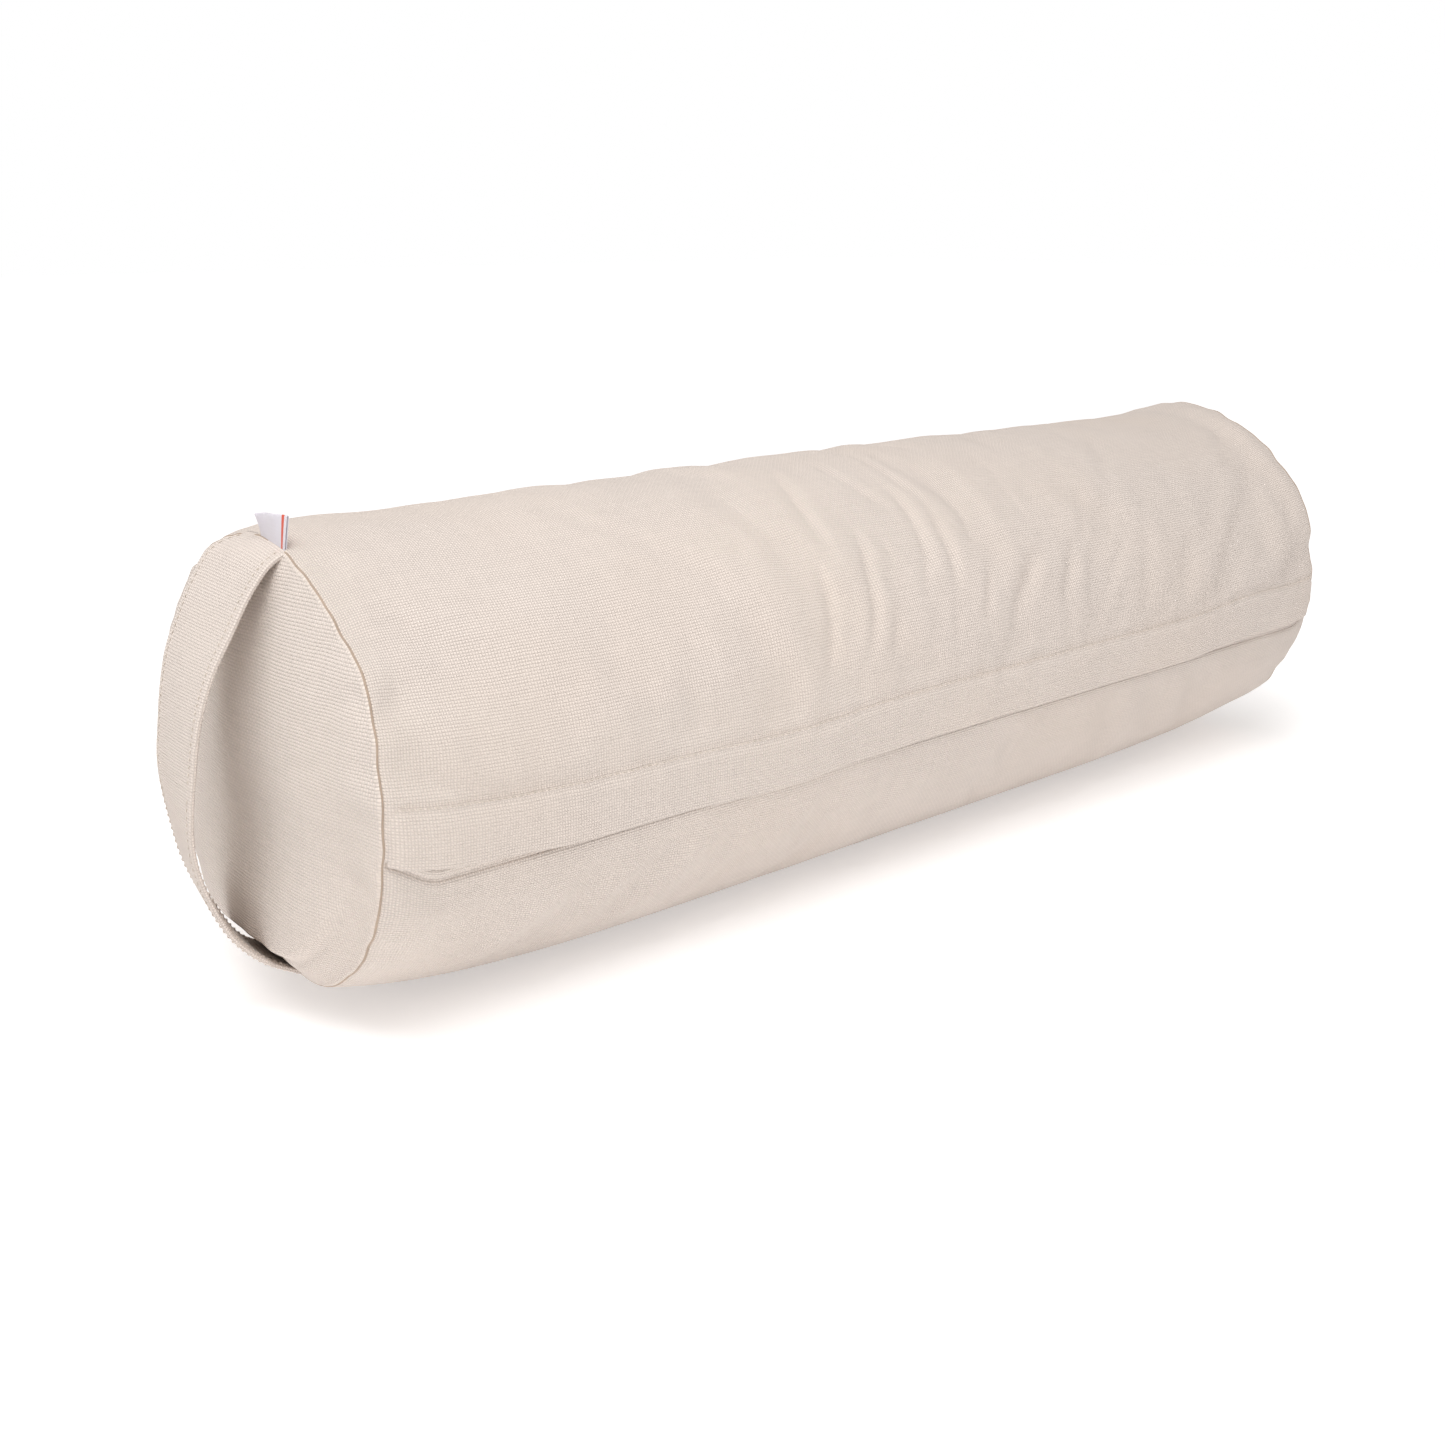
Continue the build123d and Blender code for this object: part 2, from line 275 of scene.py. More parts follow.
# Creases of the cover, from the top end to the lower end: x and distance above the stitch line at each
# end in millimetres, sideways bow, depth, and width.
CREASES = (
    (-58, 138, -72, 68, -4, 1.5, 3.2),
    (-80, 70, -99, 12, 3, 1.9, 3.0),
    (-49, 82, -77, 10, 6, 2.1, 2.8),
    (-5, 107, -19, 48, 5, 1.8, 3.0),
    (9, 85, 1, 44, 1, 1.7, 2.6),
    (28, 106, 27, 70, 2, 1.2, 3.0),
    (-27, 142, -16, 93, -4, 1.1, 2.8),
    (6, 144, 9, 95, -3, 1.1, 2.6),
    (27, 50, 15, 26, 1, 2.0, 2.8),
    (72, 56, 33, 9, -5, 1.8, 3.6),
    (97, 52, 77, 24, -1, 1.7, 3.2),
    (140, 50, 105, 10, -2, 1.7, 3.2),
    (118, 68, 104, 52, 0, 0.9, 2.6),
    (-44, 35, -56, 15, 1, 1.5, 2.6),
    (-3, 34, -14, 14, 1, 1.1, 2.8),
    (71, 96, 72, 77, 0, 0.7, 2.6),
    (-37, 80, -34, 61, 0, 0.8, 2.6),
    (-118, 96, -131, 34, -3, 0.7, 4.6),
    (-205, 66, -224, 14, 3, 0.5, 6.0),
    (176, 74, 150, 22, -2, 0.8, 4.0),
    (212, 96, 196, 40, 3, 0.6, 5.0),
)


def fold_height(x, above):
    """Height of the creases: along each bowed line a narrow valley between two unequal rounded ridges."""
    total = np.zeros(np.broadcast(x, above).shape)
    wander = 0.0008 * ripple(above + 0.3 * x, 0.050, 91)
    for x0, g0, x1, g1, bow, depth, width in CREASES:
        start, end = np.array([x0, g0]) * 1e-3, np.array([x1, g1]) * 1e-3
        run = end - start
        long = np.hypot(*run)
        dx, dg = x + wander - start[0], above - start[1]
        t = (dx * run[0] + dg * run[1]) / long**2
        away = (dg * run[0] - dx * run[1]) / long - bow * 1e-3 * np.sin(math.pi * np.clip(t, 0, 1))
        ends = step(-0.22, 0.28, t) * (1 - step(0.72, 1.22, t))
        share = away / (width * 1.15e-3)
        shape = 0.62 * hill(share, 2.0, 1.5) + 0.30 * hill(share, -2.1, 1.5) - hill(share, 0, 1)
        total += 0.85 * depth * 1e-3 * shape * ends
    return total


SETTLED = {}


def settled(x, g):
    """How far the inflated cloth moved outwards at x and g, read between the simulated points."""
    if not SETTLED:
        return 0 * (np.asarray(x) + np.asarray(g))
    height = SETTLED["height"]
    rows, cols = height.shape
    across = np.clip((x / SETTLED["reach"] + 1) / 2, 0, 1) * (cols - 1.001)
    around = np.mod(g / girth(), 1) * rows
    i, j = np.floor(around).astype(int), np.floor(across).astype(int)
    fi, fj = around - i, across - j
    i, after = i % rows, (i + 1) % rows
    near = height[i, j] * (1 - fj) + height[i, j + 1] * fj
    far = height[after, j] * (1 - fj) + height[after, j + 1] * fj
    return near * (1 - fi) + far * fi


def cover_relief(x, g):
    """Outward height of the stuffed cover over its plain shape: slow waves, soft folds and seam puckers."""
    above = from_stitch(g)
    quiet = 1 - 0.9 * step(-0.075, -0.040, above) * (1 - step(0.004, 0.045, above))
    _, z0, _, _ = section(g)
    lying = step(0.004, 0.030, z0)
    whole = girth()
    slow = 0.0004 * ripple(x, 0.150, 3) * ripple(g - 0.2 * x, 0.170, 8, whole=whole)
    middle = 0.00015 * ripple(x, 0.045, 21) * ripple(g + 0.3 * x, 0.060, 5, whole=whole)
    to_end = HALF_LENGTH - np.abs(x)
    pucker = 0.00045 * ripple(g + 0.4 * to_end, 0.024, 11, whole=whole) * np.exp(-to_end / 0.013)
    pucker = pucker + 0.0004 * ripple(x, 0.020, 17) * hill(above, 0, 0.009, 1)
    rim = step(0.035, 0.060, above) * (1 - step(0.120, 0.200, above))
    far_rim = rim * (0.0016 * hill(x, 0.316, 0.007) - 0.0020 * hill(x, 0.301, 0.008))
    moved = settled(x, g) * (1 - step(-0.050, -0.030, above) * (1 - step(0.001, 0.010, above)))
    return (slow + middle + fold_height(x, above)) * quiet * lying + (pucker + far_rim + moved) * lying


# ---------------------------------------------------------------- mesh and material helpers


def mesh_piece(name, points, faces, corner_uv, material, flat_last=False):
    """A smooth object at the origin from points (n, 3), faces grouped by corner count, and UVs in metres."""
    mesh = bpy.data.meshes.new(name)
    mesh.vertices.add(len(points))
    mesh.vertices.foreach_set("co", np.asarray(points, np.float32).ravel())
    flat = np.concatenate([f.ravel() for f in faces]).astype(np.int32)
    counts = np.concatenate([np.full(len(f), f.shape[1]) for f in faces])
    mesh.loops.add(len(flat))
    mesh.loops.foreach_set("vertex_index", flat)
    mesh.polygons.add(len(counts))
    mesh.polygons.foreach_set("loop_start", np.concatenate([[0], np.cumsum(counts)[:-1]]).astype(np.int32))
    smooth = np.ones(len(counts), bool)
    if flat_last:
        smooth[len(counts) - len(faces[-1]) :] = False
    mesh.polygons.foreach_set("use_smooth", smooth)
    layer = mesh.uv_layers.new(name="UVMap")
    uv = np.concatenate([c.reshape(-1, 2) for c in corner_uv])
    layer.data.foreach_set("uv", uv.astype(np.float32).ravel())
    mesh.update(calc_edges=True)
    if mesh.validate():
        raise RuntimeError(f"{name} has faulty faces")
    piece = bpy.data.objects.new(name, mesh)
    bpy.context.scene.collection.objects.link(piece)
    mesh.materials.append(material)
    return piece


def grid_faces(rows, cols, wrap_rows=False, wrap_cols=False, keep=None):
    """Corner indices of a grid's four-sided faces, and the same corners in its unwrapped UV grid."""
    i, j = np.meshgrid(
        np.arange(rows if wrap_rows else rows - 1), np.arange(cols if wrap_cols else cols - 1), indexing="ij"
    )
    if keep is not None:
        i, j = i[keep], j[keep]
    corner_i = np.stack([i, i, i + 1, i + 1], -1).reshape(-1, 4)
    corner_j = np.stack([j, j + 1, j + 1, j], -1).reshape(-1, 4)
    return (corner_i % rows) * cols + corner_j % cols, (corner_i, corner_j)


def grid_piece(
    name, points, uv, material, wrap_rows=False, wrap_cols=False, keep=None, flip=False
):
    """An object from a grid of points; uv has one more row or column where the grid is wrapped."""
    rows, cols = points.shape[:2]
    faces, (ci, cj) = grid_faces(rows, cols, wrap_rows, wrap_cols, keep)
    corners = uv[ci, cj]
    if flip:
        faces, corners = faces[:, ::-1], corners[:, ::-1]
    return mesh_piece(name, points.reshape(-1, 3), [faces], [corners], material)


def uv_grid(across, along):
    """A UV grid in metres, rows along the second list and columns along the first."""
    u, v = np.meshgrid(across, along)
    return np.stack([u, v], -1)


def thicken(piece, thickness, offset):
    """Gives a sheet its thickness: offset -1 puts it behind the surface, 0 in the middle."""
    modifier = piece.modifiers.new("Cloth thickness", "SOLIDIFY")
    modifier.thickness = thickness
    modifier.offset = offset
    modifier.use_even_offset = False
    modifier.use_rim = True
    mesh = piece.data
    edge_of_corner = np.zeros(len(mesh.loops), np.int32)
    mesh.loops.foreach_get("edge_index", edge_of_corner)
    open_edges = np.bincount(edge_of_corner, minlength=len(mesh.edges)) == 1
    sharp = mesh.attributes.get("sharp_edge") or mesh.attributes.new("sharp_edge", "BOOLEAN", "EDGE")
    sharp.data.foreach_set("value", open_edges)
    return piece


def walked(a, b):
    """Distance covered so far along a line given by its two coordinates."""
    return np.concatenate([[0], np.cumsum(np.hypot(np.diff(a), np.diff(b)))])


def circle(first, second, sides):
    """Directions round a ring in equal turns, from first by way of second."""
    angle = 2 * math.pi * np.arange(sides) / sides
    return np.cos(angle)[:, None] * first + np.sin(angle)[:, None] * second


def facing(g):
    """The section's outward directions at the distances g."""
    _, _, ny, nz = section(g)
    return np.stack([0 * g, ny, nz], -1)


def wrapped_grid(reach, cols, rows):
    """Even columns along the pillow, even rows once round it, and both laid out as grids."""
    x, g = np.linspace(-reach, reach, cols), np.arange(rows) * girth() / rows
    return x, g, *np.meshgrid(x, g)


def tube_faces(count, sides):
    """Faces of a closed tube made of rings of points, the first and last closed by a flat cap."""
    faces, _ = grid_faces(count, sides, wrap_cols=True)
    caps = np.stack([np.arange(sides)[::-1], (count - 1) * sides + np.arange(sides)])
    return faces, caps


def across_path(path, up):
    """Two unit vectors across a path, the first of them as near as can be to up."""
    ahead = np.gradient(path, axis=-2)
    ahead /= np.linalg.norm(ahead, axis=-1, keepdims=True)
    side = up - (up * ahead).sum(-1, keepdims=True) * ahead
    side /= np.linalg.norm(side, axis=-1, keepdims=True)
    return side, np.cross(ahead, side)


def stitches(name, starts, ends, lift, thickness, material):
    """Short threads: each arches along half a sine from start to end, a five-sided tube with thin ends."""
    count, rings, sides = len(starts), 6, 5
    t = np.linspace(0, 1, rings)[None, :, None]
    path = starts[:, None] * (1 - t) + ends[:, None] * t
    path = path + lift[:, None] * (np.sin(math.pi * t) - 0.35) * thickness
    ahead = (ends - starts) / np.linalg.norm(ends - starts, axis=1, keepdims=True)
    out = lift - (lift * ahead).sum(1, keepdims=True) * ahead
    out /= np.linalg.norm(out, axis=1, keepdims=True)
    side = np.cross(ahead, out)
    swell = (0.35 + 0.65 * np.sin(math.pi * np.linspace(0, 1, rings)) ** 0.5) * thickness / 2
    ring = circle(side[:, None, None], out[:, None, None], sides)
    points = path[:, :, None] + ring * swell[None, :, None, None]
    faces, caps = tube_faces(rings, sides)
    start = (np.arange(count) * rings * sides)[:, None, None]
    quads = (faces[None] + start).reshape(-1, 4)
    ends5 = (caps[None] + start).reshape(-1, sides)
    flat = points.reshape(-1, 3)
    faces, corner_uv = [quads[:, ::-1], ends5[:, ::-1]], [flat[quads][..., :2], flat[ends5][..., :2]]
    return mesh_piece(name, flat, faces, corner_uv, material)


class Nodes:
    """A short way to write a material's node tree."""

    def __init__(self, name):
        self.material = bpy.data.materials.new(name)
        self.material.use_nodes = True
        self.tree = self.material.node_tree
        self.shader = self.tree.nodes["Principled BSDF"]

    def link(self, value, socket):
        if isinstance(value, bpy.types.NodeSocket):
            self.tree.links.new(value, socket)
        else:
            socket.default_value = value

    def node(self, kind, **inputs):
        made = self.tree.nodes.new(kind)
        for key, value in inputs.items():
            self.link(value, made.inputs[key.replace("_", " ")])
        return made

    def own_place(self):
        return self.node("ShaderNodeTexCoord").outputs["Object"]

    def laid_flat(self):
        return self.node("ShaderNodeUVMap").outputs[0]

    def math(self, operation, a, b=0.0, c=0.0):
        made = self.tree.nodes.new("ShaderNodeMath")
        made.operation = operation
        for value, socket in zip((a, b, c), made.inputs):
            self.link(value, socket)
        return made.outputs[0]

    def noise(self, place, scale, detail=2.0, roughness=0.5):
        made = self.node("ShaderNodeTexNoise", Vector=place, Scale=scale, Detail=detail, Roughness=roughness)
        return made.outputs["Fac"]

    def stretch(self, place, scale, turn=0.0):
        made = self.node("ShaderNodeMapping", Vector=place, Scale=scale, Rotation=(0.0, 0.0, turn))
        return made.outputs[0]

    def mix(self, share, a, b):
        made = self.tree.nodes.new("ShaderNodeMix")
        made.data_type = "RGBA"
        for value, socket in zip((share, a, b), (made.inputs[0], made.inputs[6], made.inputs[7])):
            self.link(value, socket)
        return made.outputs[2]

    def ramp(self, value, low, high):
        made = self.node("ShaderNodeMapRange", Value=value)
        made.inputs["From Min"].default_value = low
        made.inputs["From Max"].default_value = high
        return made.outputs[0]

    def bump(self, height, distance, strength=1.0, normal=None):
        made = self.node("ShaderNodeBump", Height=height, Distance=distance, Strength=strength)
        if normal is not None:
            self.tree.links.new(normal, made.inputs["Normal"])
        return made.outputs[0]

    def surface(self, **inputs):
        for key, value in inputs.items():
            self.link(value, self.shader.inputs[key.replace("_", " ")])
        return self.material


def shade(colour, factor):
    """A colour made lighter or darker, with full opacity."""
    return (*[min(1.0, c * factor) for c in colour], 1.0)


def woven(name, colour, pitch, depth, slub=1.0):
    """Plain-woven cloth: each cell of a chequered grid is crossed by a rounded thread one way or the other.

    The height of a cell is the thread's round profile across it, times a lower arch along it. Thick and thin
    places run along both threads and fine fibres stand on them. The colour follows height and thread: the low
    gaps between threads are painted darker as shade, and thick and thin places change the tone.
    """
    n = Nodes(name)
    uv = n.laid_flat()
    sway = n.noise(n.stretch(uv, (60.0, 60.0, 1.0)), 1.0, 2.0)
    split = n.node("ShaderNodeSeparateXYZ", Vector=uv)
    warp = n.math("ADD", n.math("DIVIDE", split.outputs[0], pitch), n.math("MULTIPLY", sway, 0.7))
    weft = n.math("ADD", n.math("DIVIDE", split.outputs[1], pitch * 1.04), n.math("MULTIPLY", sway, -0.6))
    across = n.math("PINGPONG", warp, 0.5)
    along = n.math("PINGPONG", weft, 0.5)
    warp_round = n.math("SINE", n.math("MULTIPLY", across, math.pi))
    weft_round = n.math("SINE", n.math("MULTIPLY", along, math.pi))
    both = n.math("MULTIPLY", warp_round, weft_round)
    odd = n.math("FLOORED_MODULO", n.math("ADD", n.math("FLOOR", warp), n.math("FLOOR", weft)), 2.0)
    warp_up = n.math("MULTIPLY_ADD", both, 0.6, n.math("MULTIPLY", warp_round, 0.4))
    weft_up = n.math("MULTIPLY_ADD", both, 0.6, n.math("MULTIPLY", weft_round, 0.4))
    height = n.math(
        "ADD", n.math("MULTIPLY", odd, warp_up), n.math("MULTIPLY", n.math("SUBTRACT", 1.0, odd), weft_up)
    )
    thick_warp = n.noise(n.stretch(uv, (0.5 / pitch, 28.0, 1.0)), 1.0, 1.0)
    thick_weft = n.noise(n.stretch(uv, (28.0, 0.5 / pitch, 1.0)), 1.0, 1.0)
    thread = n.math("ADD", thick_warp, thick_weft)
    fibre = n.noise(n.stretch(uv, (3200.0, 3200.0, 1.0)), 1.0, 2.0, 0.6)
    cloud = n.noise(n.stretch(uv, (22.0, 22.0, 1.0)), 1.0, 3.0, 0.55)
    relief = n.math("MULTIPLY_ADD", thread, 0.5 * slub, height)
    relief = n.math("MULTIPLY_ADD", fibre, 0.12, relief)
    dark, light = shade(colour, 0.80), shade(colour, 1.06)
    # Low places of the weave are darker: painted shade in the gaps between threads, added to the thread tone.
    tone = n.math("MULTIPLY_ADD", height, 0.35, n.math("MULTIPLY", thread, 0.32 * slub))
    tone = n.math("MULTIPLY_ADD", cloud, 0.16, tone)
    tone = n.math("MULTIPLY_ADD", n.math("MULTIPLY", odd, both), 0.22, tone)
    base = n.mix(n.ramp(tone, 0.10, 0.62), dark, light)
    warm = (colour[0], colour[1] * 0.980, colour[2] * 0.955, 1.0)
    base = n.mix(n.ramp(n.noise(n.stretch(uv, (9.0, 9.0, 1.0)), 1.0, 3.0), 0.42, 0.95), base, warm)
    normal = n.bump(relief, depth, 0.85)
    return n.surface(
        Base_Color=base,
        Normal=normal,
        Roughness=0.92,
        Specular_IOR_Level=0.18,
        Sheen_Weight=0.18,
        Sheen_Roughness=0.45,
    )


FINISH = {}


def finishes():
    """Every material, made once."""
    if FINISH:
        return FINISH
    s, c = sizes(), colours()
    FINISH["canvas"] = woven("cotton canvas", tuple(c.canvas), s.thread_pitch, 0.00058, 0.45)
    FINISH["strap"] = woven("strap canvas", tuple(c.canvas), s.thread_pitch * 0.92, 0.00052, 0.45)
    FINISH["tape"] = woven("woven zip tape", tuple(c.tape), 0.0006, 0.00015, 0.4)
    FINISH["liner"] = woven("liner cotton", tuple(c.liner), 0.0005, 0.00010, 0.5)

    for key, name, colour, pitch, speck, dark, light, rough, sheen in (
        ("thread", "sewing thread", c.thread, 900.0, 60.0, 0.88, 1.04, 0.75, 0.2),
        # The seam thread is dark to paint the shade in the grooves of the end seams.
        ("seam shade thread", "dark seam thread as painted shade", c.seam_shade_thread, 700.0, 90.0, 0.80, 1.15, 0.85, 0.1),
    ):
        n = Nodes(name)
        place = n.own_place()
        twist = n.node("ShaderNodeTexWave", Vector=place, Scale=pitch, Distortion=1.5, Detail=1.0)
        tone = n.mix(n.noise(place, speck), shade(colour, dark), shade(colour, light))
        ply = n.bump(twist.outputs["Fac"], 0.00008)
        FINISH[key] = n.surface(Base_Color=tone, Normal=ply, Roughness=rough, Sheen_Weight=sheen)

    n = Nodes("nylon zip coil")
    place = n.own_place()
    grain = n.noise(place, 900.0, 2.0)
    colour = n.mix(n.noise(place, 40.0), shade(c.coil, 0.90), shade(c.coil, 1.04))
    FINISH["coil"] = n.surface(Base_Color=colour, Normal=n.bump(grain, 0.00003), Roughness=0.38)

    n = Nodes("nickel plate")
    place = n.own_place()
    brushed = n.noise(n.stretch(place, (150.0, 2600.0, 2600.0)), 1.0, 3.0)
    scuff = n.noise(place, 420.0, 4.0, 0.7)
    colour = n.mix(n.ramp(scuff, 0.35, 0.75), shade(c.metal, 0.82), shade(c.metal, 1.06))
    rough = n.math("MULTIPLY_ADD", scuff, 0.22, 0.20)
    FINISH["metal"] = n.surface(
        Base_Color=colour, Normal=n.bump(brushed, 0.00002, 0.6), Roughness=rough, Metallic=1.0
    )

    n = Nodes("fibre filling")
    place = n.own_place()
    tufts = n.noise(place, 55.0, 8.0, 0.7)
    strands = n.noise(n.stretch(place, (260.0, 900.0, 420.0)), 1.0, 4.0, 0.65)
    colour = n.mix(n.ramp(tufts, 0.3, 0.7), shade(c.filling, 0.80), shade(c.filling, 1.05))
    relief = n.math("MULTIPLY_ADD", strands, 0.5, tufts)
    FINISH["filling"] = n.surface(
        Base_Color=colour, Normal=n.bump(relief, 0.004), Roughness=0.95, Sheen_Weight=0.4
    )

    n = Nodes("satin label")
    uv = n.laid_flat()
    split = n.node("ShaderNodeSeparateXYZ", Vector=uv)
    rib = n.math("SINE", n.math("MULTIPLY", split.outputs[1], 2 * math.pi / 0.00035))
    stripe = n.math(
        "MULTIPLY",
        n.math("GREATER_THAN", split.outputs[0], 0.0172),
        n.math("LESS_THAN", split.outputs[0], 0.0186),
    )
    threads = n.noise(n.stretch(uv, (90.0, 900.0, 1.0)), 1.0)
    ground = n.mix(threads, shade(c.label, 0.94), shade(c.label, 1.03))
    colour = n.mix(stripe, ground, shade(c.label_stripe, 1.0))
    FINISH["label"] = n.surface(
        Base_Color=colour, Normal=n.bump(rib, 0.00004, 0.5), Roughness=0.42, Sheen_Weight=0.3
    )

    n = Nodes("plain floor")
    place = n.own_place()
    colour = n.mix(n.noise(place, 3.0, 2.0), shade(c.floor, 0.995), shade(c.floor, 1.0))
    FINISH["floor"] = n.surface(
        Base_Color=colour,
        Roughness=0.9,
        Specular_IOR_Level=0.1,
        Emission_Color=(0.965, 0.98, 1.0, 1.0),
        Emission_Strength=0.29,
    )
    return FINISH


# ---------------------------------------------------------------- the cover


def end_roll(toward):
    """Columns at an end of the panel: x and depth on a small circle that rolls the edge into the seam."""
    r = sizes().seam_radius
    angle = np.radians([20, 42, 64, 86, 108, 135])
    x = HALF_LENGTH - r + r * np.sin(angle)
    depth = -r + r * np.cos(angle)
    tail = 0.0022 / 2**0.5
    x, depth = np.append(x, x[-1] - tail), np.append(depth, depth[-1] - tail)
    return (x, depth) if toward > 0 else (-x[::-1], depth[::-1])


def panel_columns():
    """x and depth of the panel's columns, close together at both ends."""
    s = sizes()
    flat_end = HALF_LENGTH - s.seam_radius
    creased = np.linspace(-0.116, 0.150, 134)
    inner = np.concatenate([np.linspace(-0.300, -0.116, 50)[:-1], creased, np.linspace(0.150, 0.300, 41)[1:]])
    near_end = np.array([0.3035, 0.3070, 0.3100, 0.3120, 0.3145, 0.3170, 0.3195, 0.3218, flat_end])
    x = np.concatenate([-near_end[::-1], inner, near_end])
    left, right = end_roll(-1), end_roll(1)
    return np.concatenate([left[0], x, right[0]]), np.concatenate([left[1], 0 * x, right[1]])


def panel_rows():
    """The panel's rows: distances from the stitch line over the top and round to the lower edge."""
    s = sizes()
    last = girth() - s.edge_drop
    first = np.array([0, 0.0006, 0.0012, 0.0020, 0.0030, 0.0043, 0.0060, 0.0082])
    body = np.concatenate([np.linspace(0.0110, 0.170, 54)[:-1], np.linspace(0.170, last - 0.018, 84)])
    near_fold = np.array([145, 115, 95, 80, 70, 62, 56, 50, 44, 37, 29, 20, 8, 0]) * 1e-4
    return np.concatenate([first, body, last - near_fold])


class BOLSTER_OT_settle_cloth(bpy.types.Operator):
    """Blows up a closed bag of cloth whose end seams and stitch line draw in, and keeps its creases"""

    bl_idname = "bolster.settle_cloth"
    bl_label = "Settle the cloth"

    def execute(self, context):
        SETTLED.clear()
        scene = context.scene
        reach, cols, rows = HALF_LENGTH - 0.002, 150, 150
        x, g, gx, gg = wrapped_grid(reach, cols, rows)
        uneven = 0.0003 * ripple(gx, 0.030, 101) * ripple(gg, 0.035, 103, whole=girth())
        wall = cover_point(gx, gg, uneven)
        bag = bag_mesh("cloth_trial", wall, x, g, 0.0080, finishes()["liner"])
        to_end = reach - np.abs(gx)
        draw = np.clip(1 - to_end / 0.008, 0, 1) + 0.7 * hill(from_stitch(gg), 0, 0.006)
        seams = bag.vertex_groups.new(name="seams")
        weight = np.clip(draw, 0, 1).ravel()
        for level in np.linspace(0.1, 1.0, 10):
            chosen = np.flatnonzero(np.round(weight, 1) == round(float(level), 1))
            seams.add(chosen.tolist(), float(level), "REPLACE")
        cloth = bag.modifiers.new("Cloth", "CLOTH")
        cloth.point_cache.frame_start, cloth.point_cache.frame_end = 1, LAST_FRAME
        how = cloth.settings
        how.quality = 6
        how.mass = 0.3
        how.effector_weights.gravity = 0
        how.use_pressure = True
        how.uniform_pressure_force = PRESSURE
        how.tension_stiffness = how.compression_stiffness = 20
        how.shear_stiffness = 8
        how.bending_stiffness = 0.4
        how.vertex_group_shrink = "seams"
        how.shrink_min, how.shrink_max = -0.012, 0.055
        cloth.collision_settings.use_collision = False
        before = read_points(bag.data)
        for tick in range(1, LAST_FRAME + 1):
            scene.frame_set(tick)
        worked = bag.evaluated_get(context.evaluated_depsgraph_get())
        after = read_points(worked.data)
        scene.frame_set(1)
        _, _, ny, nz = section(gg)
        moved = (after - before)[: rows * cols].reshape(rows, cols, 3)
        outward = moved[..., 1] * ny + moved[..., 2] * nz
        fine = smoothed(outward, 2) - smoothed(outward, 11)
        fine = 0.6 * np.clip(fine - fine.mean(0), -MOST_MOVED, MOST_MOVED)
        SETTLED.update(height=fine, reach=reach)
        cloth_mesh = bag.data
        bpy.data.objects.remove(bag)
        bpy.data.meshes.remove(cloth_mesh)
        return {"FINISHED"}


def read_points(mesh):
    """The places of a mesh's points as an array."""
    flat = np.zeros(3 * len(mesh.vertices), np.float32)
    mesh.vertices.foreach_get("co", flat)
    return flat.reshape(-1, 3).astype(float)


def smoothed(values, reach):
    """Values averaged over a round patch: round the section they meet themselves, and each end repeats."""
    weights = hill(np.arange(-reach, reach + 1), 0, 0.5 * reach)
    weights /= weights.sum()
    padded = np.pad(values, ((0, 0), (reach, reach)), mode="edge")
    wide = sum(w * padded[:, k : k + values.shape[1]] for k, w in enumerate(weights))
    return sum(w * np.roll(wide, k - reach, axis=0) for k, w in enumerate(weights))


class BOLSTER_OT_cover_panel(bpy.types.Operator):
    """The wrapped main panel, with a slot for the zip and its ends rolled into the seams"""

    bl_idname = "bolster.cover_panel"
    bl_label = "Cover panel"

    def execute(self, context):
        s = sizes()
        x, depth = panel_columns()
        rows = panel_rows()
        slot_rows = girth() - s.edge_drop + s.edge_drop * np.array([0.2, 0.4, 0.6, 0.8])
        g = np.concatenate([rows, slot_rows])
        gx, gg = np.meshgrid(x, g)
        above = from_stitch(gg)
        by_stitches = 0.00018 * hill(above, 0, 0.0030) * (above >= 0)
        under_fold = 0.0016 * hill(above, 0.0006 - s.flap_drop, 0.0018)
        off = depth[None] + cover_relief(gx, gg) - by_stitches - under_fold
        points = cover_point(gx, gg, off, zip_edge=True)
        points[..., 2] = np.maximum(points[..., 2], 0.0)
        row = np.arange(len(g))[:, None]
        middle = (x[None] + np.roll(x, -1)[None]) / 2
        keep = ((row < len(rows) - 1) | (np.abs(middle) > SLOT_HALF))[:, : len(x) - 1]
        uv = uv_grid(x, np.append(g, girth()))
        piece = grid_piece(
            "cover_panel", points, uv, finishes()["canvas"], wrap_rows=True, keep=keep
        )
        thicken(piece, s.canvas_thickness, -1)
        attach(piece, "root")
        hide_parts("body_panel")
        return {"FINISHED"}


